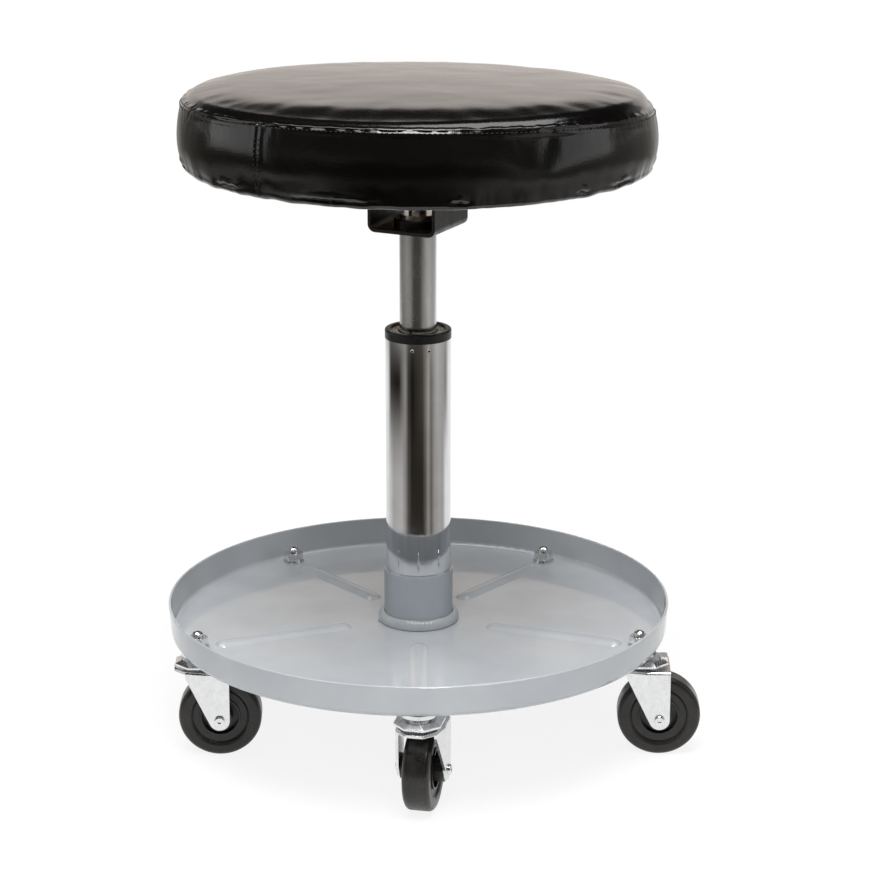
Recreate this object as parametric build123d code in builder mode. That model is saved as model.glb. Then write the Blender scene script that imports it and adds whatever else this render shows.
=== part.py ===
# Height-adjustable workshop stool with a round pad, a gas lift column and a tool tray on castors
# Millimetres, Z up, floor at zero, column axis at the origin
import os
from math import acos, asin, atan2, cos, degrees, radians, sin, sqrt

from build123d import *

os.makedirs("parts", exist_ok=True)

# Clearances and seats shared by all the pieces
running_clearance = 0.05
sliding_clearance = 0.03
loose_clearance = 0.4
edge_break = 0.4

# Castor positions and the way every castor pointed when the stool was photographed
castor_count = 5
castor_inset = 17.4
first_castor_angle = -90.0
castor_step_angle = 360.0 / castor_count
castor_headings = (77.5, -2.0, 28.0, -12.0, 1.0)

# Castor wheel
wheel_diameter = 63.5
wheel_width = 20.6
wheel_shoulder_radius = 4.0
wheel_ridge_share = 0.756
wheel_groove_share = 0.706
wheel_dish_share = 0.649
wheel_inner_ridge_share = 0.491
wheel_recess_share = 0.447
wheel_ridge_height = 1.4
wheel_web_width = 17.0
wheel_recess_depth = 4.2
wheel_boss_radius = 9.5
wheel_boss_gap = 0.4
axle_diameter = 6.0
axle_head_diameter = 8.0
axle_head_height = 2.2
axle_socket_diameter = 3.0
axle_socket_depth = 1.3
castor_trail = 16.0

# Castor fork, a bent sheet with two legs
fork_inner_width = 33.0
fork_sheet = 2.2
fork_crown_gap = 7.1
fork_bend_radius = 2.0
leg_end_radius = 7.8
leg_crease = 6.0
leg_front = -10.0
leg_front_height = 5.0
leg_wing_angle = 12.0
crown_nose = -18.0
crown_nose_half_width = 7.2
kingpin_radius = 5.0
leg_share = 0.7

# Raceway plate above the fork
plate_width = 34.6
plate_rim_height = 1.5
plate_top_width = 25.5
plate_rise = 2.4
plate_corner_cut = 10.1
plate_nose = 17.3
plate_tail = 22.4
plate_gap = 2.4
ear_start = 15.4
ear_length = 6.6
ear_width = 11.0
ear_height = 3.6
ear_corner_radius = 1.6
race_ring_radius = 11.0

# Castor stem and its fixings on the tray
stem_thread_diameter = 8.0
stem_flange_radius = 13.2
stem_flange_height = 3.6
stem_neck_radius = 7.6
stem_neck_height = 2.5
stem_rivet_radius = 8.0
stem_rivet_height = 2.2
stem_end_height = 4.5
stem_dome_height = 1.8
washer_diameter = 17.0
washer_thickness = 1.6
spring_washer_diameter = 13.6
spring_washer_thickness = 2.0
spring_washer_gap = 1.6
nut_across_flats = 13.0
nut_height = 5.4
nut_corner_share = 0.96

# Tool tray, a pressed round pan
tray_radius = 194.4
tray_lean = 1.5
tray_depth = 24.6
tray_sheet = 1.8
tray_bend_radius = 5.0
tray_crown_rise = 3.2
tray_crown_start = 9.0
tray_crown_inset = 38.4
rib_width = 14.0
rib_height = 3.0
rib_start_gap = 30.0
rib_inset = 31.0

# Column, its socket on the tray and the weld bead round it
tube_diameter = 50.0
tube_wall = 2.0
tube_length = 242.4
tube_drop = 10.0
socket_wall = 1.4
socket_taper = 0.5
socket_rise = 48.0
socket_lip = 2.1
socket_lip_height = 2.6
weld_width = 6.6
weld_height = 8.4
weld_throat_share = 0.72
dimple_radius = 1.9
dimple_depth = 0.8
dimple_drop = 5.0
dimple_pair_angle = 28.0
dimple_pair_turn = -86.0
dimple_pairs = 3

# Ring at the top of the column and the guide bushing inside it
ring_overhang = 0.3
ring_wall = 4.5
ring_height = 7.0
ring_edge_radius = 1.2
retainer_height = 5.0
retainer_gap = 1.4
retainer_slots = 3
retainer_slot_width = 3.0
bushing_length = 80.0
bushing_relief_depth = 0.8
bushing_relief_length = 44.0

# Gas spring
cylinder_diameter = 28.0
cylinder_wall = 2.0
cylinder_length = 245.0
cylinder_reach = 81.6
cylinder_taper_length = 14.0
cylinder_taper = 1.4
cylinder_cap = 12.0
neck_diameter = 14.0
neck_height = 8.0
rod_diameter = 10.0
rod_stub_diameter = 8.0
rod_guide_length = 12.0
piston_reach = 74.0
piston_height = 14.0
button_diameter = 7.0
button_height = 5.0
button_travel = 1.6
button_depth = 6.0

# Thrust bearing and retaining clip at the foot of the column
foot_plate_thickness = 4.0
race_radius = 12.0
race_thickness = 1.5
ball_radius = 2.4
ball_circle_radius = 8.6
ball_count = 9
cage_thickness = 2.4
cage_outer_radius = 11.4
cage_inner_radius = 5.6
clip_radius = 8.0
clip_thickness = 1.6
clip_groove_radius = 3.2
clip_opening = 5.0
rod_stub_end = 2.4

# Seat bracket, a bent channel under the seat, and its fixings
bracket_heading = 63.3
bracket_width = 56.0
bracket_length = 56.0
bracket_sheet = 2.5
bracket_seat = 2.6
bracket_depth = 53.4
bracket_bend_radius = 6.0
bracket_flange = 30.0
sleeve_wall = 4.0
sleeve_height = 6.0
sleeve_edge_radius = 1.2
screw_diameter = 6.0
screw_head_width = 10.0
screw_head_height = 4.0
screw_length = 11.0
screw_side = 44.0
screw_row = 18.0
tee_flange_radius = 9.0
tee_flange_thickness = 1.2
tee_barrel_radius = 4.2
tee_barrel_length = 8.5

# Release lever
lever_pivot_reach = 15.0
lever_pivot_rise = 4.0
lever_pin_radius = 3.0
lever_pin_head_radius = 5.0
lever_pin_head_height = 1.8
lever_barrel_radius = 6.0
lever_barrel_length = 40.0
lever_pad_width = 14.0
lever_pad_thickness = 3.0
lever_pad_reach = 6.0
lever_rod_radius = 3.0
lever_drop = 7.0
lever_bend = 60.0
lever_end = 150.0
grip_radius = 5.5
grip_length = 48.0
grip_wall_end = 2.0

# Seat board, foam and cover
seat_side_radius = 179.3
seat_foot_inset = 8.7
seat_foot_corner = 5.4
seat_foot_drop = 4.4
seat_side_rise = 22.4
seat_seam_inset = 2.3
seat_seam_rise = 49.4
seat_crown_rise = 13.5
crown_shoulder_inset = 21.3
crown_shoulder_drop = 7.0
seam_groove = 0.9
board_inset = 15.3
board_thickness = 12.0
cover_thickness = 1.2
cover_fold = 16.0
staple_count = 24
staple_inset = 10.0
staple_width = 9.0
staple_wire = 0.9

# Sizes that follow from the ones above
wheel_radius = wheel_diameter / 2
wheel_half = wheel_width / 2
tube_radius = tube_diameter / 2
tube_bore_radius = tube_radius - tube_wall
cylinder_radius = cylinder_diameter / 2
cylinder_bore_radius = cylinder_radius - cylinder_wall
rod_radius = rod_diameter / 2
stub_radius = rod_stub_diameter / 2
wheel_ridge_radius = wheel_radius * wheel_ridge_share
wheel_groove_outer_radius = wheel_radius * wheel_groove_share
wheel_dish_radius = wheel_radius * wheel_dish_share
wheel_inner_ridge_radius = wheel_radius * wheel_inner_ridge_share
wheel_recess_radius = wheel_radius * wheel_recess_share
wheel_boss_length = fork_inner_width - 2 * wheel_boss_gap
fork_outer_half = fork_inner_width / 2 + fork_sheet
fork_crown_top = wheel_diameter + fork_crown_gap
fork_crown_bottom = fork_crown_top - fork_sheet
plate_bottom = fork_crown_top + plate_gap
plate_top = plate_bottom + plate_rim_height + plate_rise
leg_top = fork_crown_top
leg_end = castor_trail + leg_end_radius
castor_circle_radius = tray_radius - castor_inset
tray_foot_radius = tray_radius - tray_lean
tray_bottom = plate_top + stem_neck_height + stem_flange_height
tray_rim_height = tray_bottom + tray_depth
tray_crown_start_radius = tube_radius + tray_crown_start
tray_crown_end_radius = tray_radius - tray_crown_inset
rib_inner_radius = tube_radius + rib_start_gap
rib_outer_radius = tray_radius - rib_inset
tube_bottom = tray_bottom - tube_drop
tube_top = tube_bottom + tube_length
socket_top = tray_bottom + socket_rise
socket_lip_radius = tube_radius + socket_lip
weld_radius = tube_radius + weld_width
ring_radius = tube_radius + ring_overhang
ring_bore_radius = ring_radius - ring_wall
retainer_bore_radius = cylinder_radius + retainer_gap
washer_seat = tray_bottom + tray_sheet
spring_seat = washer_seat + washer_thickness
nut_seat = spring_seat + spring_washer_thickness
stem_top = nut_seat + nut_height + stem_end_height
foot_top = tube_bottom + foot_plate_thickness
ball_level = foot_top + race_thickness + ball_radius
race_top = ball_level + ball_radius
rod_shoulder = race_top + race_thickness
cylinder_shoulder = tube_top + cylinder_reach
cylinder_bottom = cylinder_shoulder - cylinder_length
cylinder_taper_diameter = cylinder_diameter - cylinder_taper
piston_bottom = cylinder_bottom + piston_reach
rod_top = piston_bottom + piston_height
taper_top = cylinder_shoulder + cylinder_taper_length
neck_top = taper_top + neck_height
button_top = neck_top + button_height
bracket_bottom = cylinder_shoulder + bracket_seat
bracket_top = bracket_bottom + bracket_depth
sleeve_radius = cylinder_radius + sleeve_wall
lever_pivot_height = button_top + lever_pivot_rise
board_bottom = bracket_top
board_top = board_bottom + board_thickness
board_radius = seat_side_radius - board_inset
cover_fold_radius = board_radius - cover_fold
staple_radius = board_radius - staple_inset
seat_bottom = board_bottom - seat_foot_drop
seat_foot_radius = seat_side_radius - seat_foot_inset
seat_side_height = seat_bottom + seat_side_rise
seat_seam_radius = seat_side_radius - seat_seam_inset
seat_seam_height = seat_bottom + seat_seam_rise
seat_top = seat_seam_height + seat_crown_rise
crown_shoulder_radius = seat_side_radius - crown_shoulder_inset
crown_radius = (crown_shoulder_radius**2 + crown_shoulder_drop**2) / (2 * crown_shoulder_drop)
rib_radius = (rib_width**2 / 4 + rib_height**2) / (2 * rib_height)
floor_slope = tray_crown_rise / (tray_crown_end_radius - tray_crown_start_radius)

castor_angles = [first_castor_angle + castor_step_angle * i for i in range(castor_count)]
castor_spots = [
    (castor_circle_radius * cos(radians(a)), castor_circle_radius * sin(radians(a)))
    for a in castor_angles
]


def floor_rise(r):
    # Height of the pan floor over its flat outer band at radius r
    return max(0, min(tray_crown_rise, (tray_crown_end_radius - r) * floor_slope))


def save(builder, name):
    builder.part.label = name
    export_step(builder.part, f"parts/{name}.step")


def castor_places(height=0):
    return [Location((x, y, height)) for x, y in castor_spots]


# Tool tray with a gently crowned floor, a rounded foot bend and five pressed ribs
rib_axis_drop = rib_radius - rib_height
rib_start = (rib_inner_radius + rib_width / 2, tray_bottom + tray_sheet - rib_axis_drop)
rib_length = rib_outer_radius - rib_inner_radius - rib_width
rib_lift = floor_rise(rib_inner_radius + rib_width / 2)
rib_fall = floor_rise(rib_inner_radius + rib_width / 2 + rib_length)
rib_tilt = degrees(asin((rib_lift - rib_fall) / rib_length))


def rib_places():
    spots = []
    for a in castor_angles:
        spots.append(
            Location((0, 0, 0), (0, 0, a))
            * Location((rib_start[0], 0, rib_start[1] + rib_lift), (0, 90 + rib_tilt, 0))
        )
    return spots


with BuildPart() as tool_tray:
    with BuildSketch(Plane.XZ):
        with BuildLine():
            under = Polyline(
                (tube_radius + sliding_clearance, tray_bottom + tray_crown_rise),
                (tray_crown_start_radius, tray_bottom + tray_crown_rise),
                (tray_crown_end_radius, tray_bottom),
                (tray_foot_radius - tray_bend_radius, tray_bottom),
            )
            foot = RadiusArc(
                under @ 1,
                (tray_foot_radius, tray_bottom + tray_bend_radius),
                -tray_bend_radius,
            )
            rim = Polyline(
                foot @ 1,
                (tray_radius, tray_rim_height),
                (tray_radius - tray_sheet, tray_rim_height),
                (tray_foot_radius - tray_sheet, tray_bottom + tray_bend_radius),
            )
            inner_foot = RadiusArc(
                rim @ 1,
                (tray_foot_radius - tray_bend_radius, tray_bottom + tray_sheet),
                tray_bend_radius - tray_sheet,
            )
            Polyline(
                inner_foot @ 1,
                (tray_crown_end_radius, tray_bottom + tray_sheet),
                (tray_crown_start_radius, tray_bottom + tray_sheet + tray_crown_rise),
                (tube_radius + sliding_clearance, tray_bottom + tray_sheet + tray_crown_rise),
                under @ 0,
            )
        make_face()
    revolve(axis=Axis.Z)
    for spot in rib_places():
        with Locations(spot):
            Cylinder(rib_radius, rib_length, align=(Align.CENTER, Align.CENTER, Align.MIN))
            Sphere(rib_radius)
            with Locations((0, 0, rib_length)):
                Sphere(rib_radius)
    with BuildSketch(Plane.XZ):
        Polygon(
            (tube_radius + sliding_clearance, tray_bottom + tray_crown_rise),
            (tray_crown_start_radius, tray_bottom + tray_crown_rise),
            (tray_crown_end_radius, tray_bottom),
            (tray_foot_radius - tray_bend_radius, tray_bottom),
            (tray_foot_radius - tray_bend_radius, 0),
            (tube_radius + sliding_clearance, 0),
            align=None,
        )
    revolve(axis=Axis.Z, mode=Mode.SUBTRACT)
    for spot in rib_places():
        with Locations(spot):
            Cylinder(
                rib_radius - tray_sheet,
                rib_length,
                align=(Align.CENTER, Align.CENTER, Align.MIN),
                mode=Mode.SUBTRACT,
            )
            Sphere(rib_radius - tray_sheet, mode=Mode.SUBTRACT)
            with Locations((0, 0, rib_length)):
                Sphere(rib_radius - tray_sheet, mode=Mode.SUBTRACT)
    with Locations(*castor_places(tray_bottom)):
        Cylinder(
            stem_thread_diameter / 2 + running_clearance,
            tray_sheet,
            align=(Align.CENTER, Align.CENTER, Align.MIN),
            mode=Mode.SUBTRACT,
        )
    fillet(tool_tray.edges().group_by(Axis.Z)[-1], tray_sheet / 2 - running_clearance)
save(tool_tray, "tool_tray")

# Socket that grips the column, flared to a lip at the top
socket_foot = tray_bottom + tray_sheet + tray_crown_rise
with BuildPart() as column_socket:
    with BuildSketch(Plane.XZ):
        with BuildLine():
            outside = Polyline(
                (tube_radius, socket_foot),
                (tube_radius + socket_wall, socket_foot),
                (tube_radius + socket_wall + socket_taper, socket_top - 2 * socket_lip_height),
            )
            flare = Spline(
                outside @ 1,
                (socket_lip_radius, socket_top - socket_lip_height / 2),
                tangents=[(socket_taper, socket_top - socket_foot), (0, 1)],
            )
            Polyline(
                flare @ 1,
                (socket_lip_radius, socket_top),
                (tube_radius, socket_top),
                outside @ 0,
            )
        make_face()
    revolve(axis=Axis.Z)
    lip_edge = column_socket.edges().group_by(Axis.Z)[-1].sort_by(SortBy.RADIUS)[-1]
    fillet(lip_edge, edge_break)
save(column_socket, "column_socket")

# Weld bead laid round the foot of the socket
bead_inner = tube_radius + socket_wall
with BuildPart() as socket_weld:
    with BuildSketch(Plane.XZ):
        with BuildLine():
            base = Line((bead_inner, socket_foot), (weld_radius, socket_foot))
            bulge = ThreePointArc(
                base @ 1,
                (
                    bead_inner + (weld_radius - bead_inner) * weld_throat_share,
                    socket_foot + weld_height * weld_throat_share,
                ),
                (bead_inner + socket_taper * weld_height / socket_top, socket_foot + weld_height),
            )
            Line(bulge @ 1, base @ 0)
        make_face()
    revolve(axis=Axis.Z)
    with BuildSketch(Plane.XZ):
        Polygon(
            (0, socket_foot),
            (tube_radius + socket_wall, socket_foot),
            (tube_radius + socket_wall + socket_taper, socket_top - 2 * socket_lip_height),
            (0, socket_top - 2 * socket_lip_height),
            align=None,
        )
    revolve(axis=Axis.Z, mode=Mode.SUBTRACT)
save(socket_weld, "socket_weld")

# Column tube with pairs of punched dimples that hold the bushing
with BuildPart() as column_tube:
    with Locations((0, 0, tube_bottom)):
        Cylinder(
            tube_radius, tube_top - tube_bottom, align=(Align.CENTER, Align.CENTER, Align.MIN)
        )
        Cylinder(
            tube_bore_radius,
            tube_top - tube_bottom,
            align=(Align.CENTER, Align.CENTER, Align.MIN),
            mode=Mode.SUBTRACT,
        )
    for pair in range(dimple_pairs):
        for side in (-1, 1):
            turn = dimple_pair_turn + pair * 360 / dimple_pairs + side * dimple_pair_angle / 2
            reach = tube_radius + dimple_radius - dimple_depth
            spot = (reach * cos(radians(turn)), reach * sin(radians(turn)), tube_top - dimple_drop)
            with Locations(spot):
                Sphere(dimple_radius, mode=Mode.SUBTRACT)
save(column_tube, "column_tube")

# Guide bushing that the gas cylinder slides in, relieved along its middle
with BuildPart() as guide_bushing:
    with Locations((0, 0, tube_top - bushing_length)):
        Cylinder(tube_bore_radius, bushing_length, align=(Align.CENTER, Align.CENTER, Align.MIN))
        Cylinder(
            cylinder_radius + running_clearance,
            bushing_length,
            align=(Align.CENTER, Align.CENTER, Align.MIN),
            mode=Mode.SUBTRACT,
        )
    with Locations((0, 0, tube_top - bushing_length / 2)):
        Cylinder(
            cylinder_radius + bushing_relief_depth, bushing_relief_length, mode=Mode.SUBTRACT
        )
save(guide_bushing, "guide_bushing")

# Plastic ring that caps the column and the slotted retainer inside it
with BuildPart() as top_ring:
    with Locations((0, 0, tube_top)):
        Cylinder(ring_radius, ring_height, align=(Align.CENTER, Align.CENTER, Align.MIN))
        Cylinder(
            ring_bore_radius,
            ring_height,
            align=(Align.CENTER, Align.CENTER, Align.MIN),
            mode=Mode.SUBTRACT,
        )
    fillet(top_ring.edges().group_by(Axis.Z)[-1], ring_edge_radius)
save(top_ring, "top_ring")

with BuildPart() as ring_retainer:
    with Locations((0, 0, tube_top)):
        Cylinder(ring_bore_radius, retainer_height, align=(Align.CENTER, Align.CENTER, Align.MIN))
        Cylinder(
            retainer_bore_radius,
            retainer_height,
            align=(Align.CENTER, Align.CENTER, Align.MIN),
            mode=Mode.SUBTRACT,
        )
    with Locations((0, 0, tube_top + retainer_height)):
        with PolarLocations((ring_bore_radius + retainer_bore_radius) / 2, retainer_slots):
            Box(
                2 * (ring_bore_radius - retainer_bore_radius),
                retainer_slot_width,
                retainer_height,
                mode=Mode.SUBTRACT,
            )
save(ring_retainer, "ring_retainer")

# Foot plate, thrust bearing and retaining clip at the bottom of the column
with BuildPart() as foot_plate:
    with Locations((0, 0, tube_bottom)):
        Cylinder(
            tube_bore_radius, foot_plate_thickness, align=(Align.CENTER, Align.CENTER, Align.MIN)
        )
        Cylinder(
            stub_radius + running_clearance,
            foot_plate_thickness,
            align=(Align.CENTER, Align.CENTER, Align.MIN),
            mode=Mode.SUBTRACT,
        )
    chamfer(foot_plate.edges().group_by(Axis.Z)[0].sort_by(SortBy.RADIUS)[-1], edge_break)
save(foot_plate, "foot_plate")

with BuildPart() as lower_race:
    with Locations((0, 0, foot_top)):
        Cylinder(race_radius, race_thickness, align=(Align.CENTER, Align.CENTER, Align.MIN))
        Cylinder(
            stub_radius + loose_clearance,
            race_thickness,
            align=(Align.CENTER, Align.CENTER, Align.MIN),
            mode=Mode.SUBTRACT,
        )
save(lower_race, "lower_race")

with BuildPart() as ball_cage:
    with Locations((0, 0, ball_level)):
        Cylinder(cage_outer_radius, cage_thickness)
        Cylinder(cage_inner_radius, cage_thickness, mode=Mode.SUBTRACT)
        with PolarLocations(ball_circle_radius, ball_count):
            Cylinder(ball_radius + running_clearance, cage_thickness, mode=Mode.SUBTRACT)
save(ball_cage, "ball_cage")

with BuildPart() as thrust_balls:
    with Locations((0, 0, ball_level)):
        with PolarLocations(ball_circle_radius, ball_count):
            Sphere(ball_radius)
save(thrust_balls, "thrust_balls")

with BuildPart() as upper_race:
    with Locations((0, 0, race_top)):
        Cylinder(race_radius, race_thickness, align=(Align.CENTER, Align.CENTER, Align.MIN))
        Cylinder(
            stub_radius, race_thickness, align=(Align.CENTER, Align.CENTER, Align.MIN),
            mode=Mode.SUBTRACT,
        )
save(upper_race, "upper_race")

with BuildPart() as rod_clip:
    with Locations((0, 0, tube_bottom - clip_thickness - loose_clearance)):
        Cylinder(clip_radius, clip_thickness, align=(Align.CENTER, Align.CENTER, Align.MIN))
        Cylinder(
            clip_groove_radius,
            clip_thickness,
            align=(Align.CENTER, Align.CENTER, Align.MIN),
            mode=Mode.SUBTRACT,
        )
        Box(
            2 * clip_radius,
            clip_opening,
            clip_thickness,
            align=(Align.MIN, Align.CENTER, Align.MIN),
            mode=Mode.SUBTRACT,
        )
save(rod_clip, "rod_clip")

# Piston rod with its stepped foot, the clip groove and the piston
clip_bottom = tube_bottom - clip_thickness - loose_clearance
with BuildPart() as piston_rod:
    with BuildSketch(Plane.XZ):
        Polygon(
            (0, clip_bottom - rod_stub_end),
            (stub_radius, clip_bottom - rod_stub_end),
            (stub_radius, clip_bottom),
            (clip_groove_radius, clip_bottom),
            (clip_groove_radius, clip_bottom + clip_thickness),
            (stub_radius, clip_bottom + clip_thickness),
            (stub_radius, rod_shoulder),
            (rod_radius, rod_shoulder),
            (rod_radius, piston_bottom),
            (stub_radius, piston_bottom),
            (stub_radius, rod_top),
            (0, rod_top),
            align=None,
        )
    revolve(axis=Axis.Z)
    chamfer(piston_rod.edges().group_by(Axis.Z)[0], edge_break)
save(piston_rod, "piston_rod")

with BuildPart() as piston:
    with Locations((0, 0, piston_bottom)):
        Cylinder(
            cylinder_bore_radius - running_clearance,
            piston_height,
            align=(Align.CENTER, Align.CENTER, Align.MIN),
        )
        Cylinder(
            stub_radius,
            piston_height,
            align=(Align.CENTER, Align.CENTER, Align.MIN),
            mode=Mode.SUBTRACT,
        )
save(piston, "piston")

# Gas cylinder with the tapered end that wedges into the seat bracket
with BuildPart() as gas_cylinder:
    with BuildSketch(Plane.XZ):
        Polygon(
            (0, cylinder_bottom),
            (cylinder_radius, cylinder_bottom),
            (cylinder_radius, cylinder_shoulder),
            (cylinder_taper_diameter / 2, taper_top),
            (neck_diameter / 2, taper_top),
            (neck_diameter / 2, neck_top),
            (0, neck_top),
            align=None,
        )
    revolve(axis=Axis.Z)
    with Locations((0, 0, cylinder_bottom)):
        Cylinder(
            cylinder_bore_radius,
            cylinder_shoulder - cylinder_cap - cylinder_bottom,
            align=(Align.CENTER, Align.CENTER, Align.MIN),
            mode=Mode.SUBTRACT,
        )
    with Locations((0, 0, neck_top)):
        Cylinder(
            button_diameter / 2 + running_clearance,
            button_depth + button_travel,
            align=(Align.CENTER, Align.CENTER, Align.MAX),
            mode=Mode.SUBTRACT,
        )
    chamfer(gas_cylinder.edges().group_by(Axis.Z)[0].sort_by(SortBy.RADIUS)[-1], edge_break)
save(gas_cylinder, "gas_cylinder")

with BuildPart() as rod_guide:
    with Locations((0, 0, cylinder_bottom)):
        Cylinder(
            cylinder_bore_radius, rod_guide_length, align=(Align.CENTER, Align.CENTER, Align.MIN)
        )
        Cylinder(
            rod_radius + running_clearance,
            rod_guide_length,
            align=(Align.CENTER, Align.CENTER, Align.MIN),
            mode=Mode.SUBTRACT,
        )
save(rod_guide, "rod_guide")

with BuildPart() as valve_button:
    with Locations((0, 0, neck_top - button_depth)):
        Cylinder(
            button_diameter / 2,
            button_depth + button_height,
            align=(Align.CENTER, Align.CENTER, Align.MIN),
        )
    fillet(valve_button.edges().group_by(Axis.Z)[-1], edge_break)
save(valve_button, "valve_button")

# Seat bracket, a channel bent from sheet with two screw flanges
bracket_direction = (cos(radians(bracket_heading)), sin(radians(bracket_heading)), 0)
bracket_plane = Plane(origin=(0, 0, 0), x_dir=bracket_direction, z_dir=(0, 0, 1))
bracket_frame = Location((0, 0, 0), (0, 0, bracket_heading))
channel_half = bracket_width / 2
flange_edge = channel_half + bracket_flange
bracket_section = Plane((0, 0, 0), x_dir=bracket_plane.y_dir, z_dir=bracket_plane.x_dir)
screw_spots = [
    bracket_frame * Location((row, side, 0))
    for row in (-screw_row, screw_row)
    for side in (-screw_side, screw_side)
]
inner_bend = bracket_bend_radius - bracket_sheet
flange_bottom = bracket_top - bracket_sheet
web_top = bracket_bottom + bracket_sheet
with BuildPart() as seat_bracket:
    with BuildSketch(bracket_section):
        with BuildLine():
            outer = FilletPolyline(
                (-flange_edge, flange_bottom),
                (-channel_half, flange_bottom),
                (-channel_half, bracket_bottom),
                (channel_half, bracket_bottom),
                (channel_half, flange_bottom),
                (flange_edge, flange_bottom),
                radius=[inner_bend, bracket_bend_radius, bracket_bend_radius, inner_bend],
            )
            inner = FilletPolyline(
                (-flange_edge, bracket_top),
                (-channel_half + bracket_sheet, bracket_top),
                (-channel_half + bracket_sheet, web_top),
                (channel_half - bracket_sheet, web_top),
                (channel_half - bracket_sheet, bracket_top),
                (flange_edge, bracket_top),
                radius=[bracket_bend_radius, inner_bend, inner_bend, bracket_bend_radius],
            )
            Line(outer @ 0, inner @ 0)
            Line(outer @ 1, inner @ 1)
        make_face()
    extrude(amount=bracket_length / 2, both=True)
    with Locations((0, 0, bracket_bottom)):
        Cylinder(
            cylinder_radius,
            bracket_sheet,
            align=(Align.CENTER, Align.CENTER, Align.MIN),
            mode=Mode.SUBTRACT,
        )
    with Locations(*[spot * Location((0, 0, flange_bottom)) for spot in screw_spots]):
        Cylinder(
            screw_diameter / 2 + sliding_clearance,
            bracket_sheet,
            align=(Align.CENTER, Align.CENTER, Align.MIN),
            mode=Mode.SUBTRACT,
        )
    with Locations(bracket_frame * Location((lever_pivot_reach, 0, lever_pivot_height), (90, 0, 0))):
        Cylinder(lever_pin_radius, bracket_width, mode=Mode.SUBTRACT)
save(seat_bracket, "seat_bracket")

# Tapered sleeve inside the bracket round the end of the gas cylinder
taper_slope = (cylinder_radius - cylinder_taper_diameter / 2) / cylinder_taper_length


def taper_radius(height):
    return cylinder_radius - (height - cylinder_shoulder) * taper_slope


with BuildPart() as taper_sleeve:
    with Locations((0, 0, web_top)):
        Cylinder(sleeve_radius, sleeve_height, align=(Align.CENTER, Align.CENTER, Align.MIN))
    with BuildSketch(Plane.XZ):
        Polygon(
            (0, web_top),
            (taper_radius(web_top), web_top),
            (taper_radius(web_top + sleeve_height), web_top + sleeve_height),
            (0, web_top + sleeve_height),
            align=None,
        )
    revolve(axis=Axis.Z, mode=Mode.SUBTRACT)
    top_rim = taper_sleeve.edges().group_by(Axis.Z)[-1].sort_by(SortBy.RADIUS)[-1]
    fillet(top_rim, sleeve_edge_radius)
save(taper_sleeve, "taper_sleeve")

# Screws and tee nuts that hold the bracket to the board
with BuildPart() as bracket_screws:
    with Locations(*[spot * Location((0, 0, flange_bottom)) for spot in screw_spots]):
        Cylinder(screw_diameter / 2, screw_length, align=(Align.CENTER, Align.CENTER, Align.MIN))
    with BuildSketch(Plane.XY.offset(flange_bottom)):
        with Locations(*screw_spots):
            RegularPolygon(screw_head_width / 2, 6, major_radius=False)
    extrude(amount=-screw_head_height)
    chamfer(bracket_screws.edges().group_by(Axis.Z)[0], edge_break)
save(bracket_screws, "bracket_screws")

with BuildPart() as tee_nuts:
    with Locations(*[spot * Location((0, 0, board_top)) for spot in screw_spots]):
        Cylinder(
            tee_flange_radius,
            tee_flange_thickness,
            align=(Align.CENTER, Align.CENTER, Align.MAX),
        )
        Cylinder(
            tee_barrel_radius,
            tee_barrel_length,
            align=(Align.CENTER, Align.CENTER, Align.MAX),
        )
        Cylinder(
            screw_diameter / 2,
            tee_barrel_length,
            align=(Align.CENTER, Align.CENTER, Align.MAX),
            mode=Mode.SUBTRACT,
        )
save(tee_nuts, "tee_nuts")

# Release lever with its pivot pin and hand grip
pivot_spot = bracket_frame * Location((lever_pivot_reach, 0, lever_pivot_height), (90, 0, 0))
side_plane = Plane(bracket_frame * Location((0, 0, 0), (90, 0, 0)))
pad_bottom = button_top + loose_clearance
rod_start = lever_pivot_reach + lever_barrel_radius - lever_rod_radius
drop_slope = lever_drop / (lever_end - lever_bend)
grip_start = lever_end - grip_length
grip_start_height = lever_pivot_height - (grip_start - lever_bend) * drop_slope
grip_frame = (
    bracket_frame
    * Location((grip_start, 0, grip_start_height))
    * Location((0, 0, 0), (0, 90 + degrees(asin(drop_slope)), 0))
)
with BuildPart() as release_lever:
    with Locations(pivot_spot):
        Cylinder(lever_barrel_radius, lever_barrel_length)
    with BuildSketch(Plane(bracket_frame * Location((0, 0, pad_bottom)))):
        with BuildLine():
            Polyline(
                (lever_pivot_reach, -lever_pad_width / 2),
                (0, -lever_pad_width / 2),
                (-lever_pad_reach, -lever_pad_width / 4),
                (-lever_pad_reach, lever_pad_width / 4),
                (0, lever_pad_width / 2),
                (lever_pivot_reach, lever_pad_width / 2),
                close=True,
            )
        make_face()
    extrude(amount=lever_pad_thickness)
    with BuildLine(side_plane) as rod_path:
        FilletPolyline(
            (rod_start, lever_pivot_height),
            (lever_bend, lever_pivot_height),
            (lever_end - grip_wall_end, lever_pivot_height - lever_drop + grip_wall_end * drop_slope),
            radius=lever_bend,
        )
    with BuildSketch(Plane(rod_path.line @ 0, z_dir=rod_path.line % 0)):
        Circle(lever_rod_radius)
    sweep(path=rod_path.line)
    with Locations(pivot_spot):
        Cylinder(lever_pin_radius + running_clearance, lever_barrel_length, mode=Mode.SUBTRACT)
save(release_lever, "release_lever")

with BuildPart() as lever_pin:
    with Locations(pivot_spot):
        Cylinder(lever_pin_radius, bracket_width)
        for side in (-1, 1):
            with Locations((0, 0, side * (bracket_width + lever_pin_head_height) / 2)):
                Cylinder(lever_pin_head_radius, lever_pin_head_height)
save(lever_pin, "lever_pin")

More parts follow.
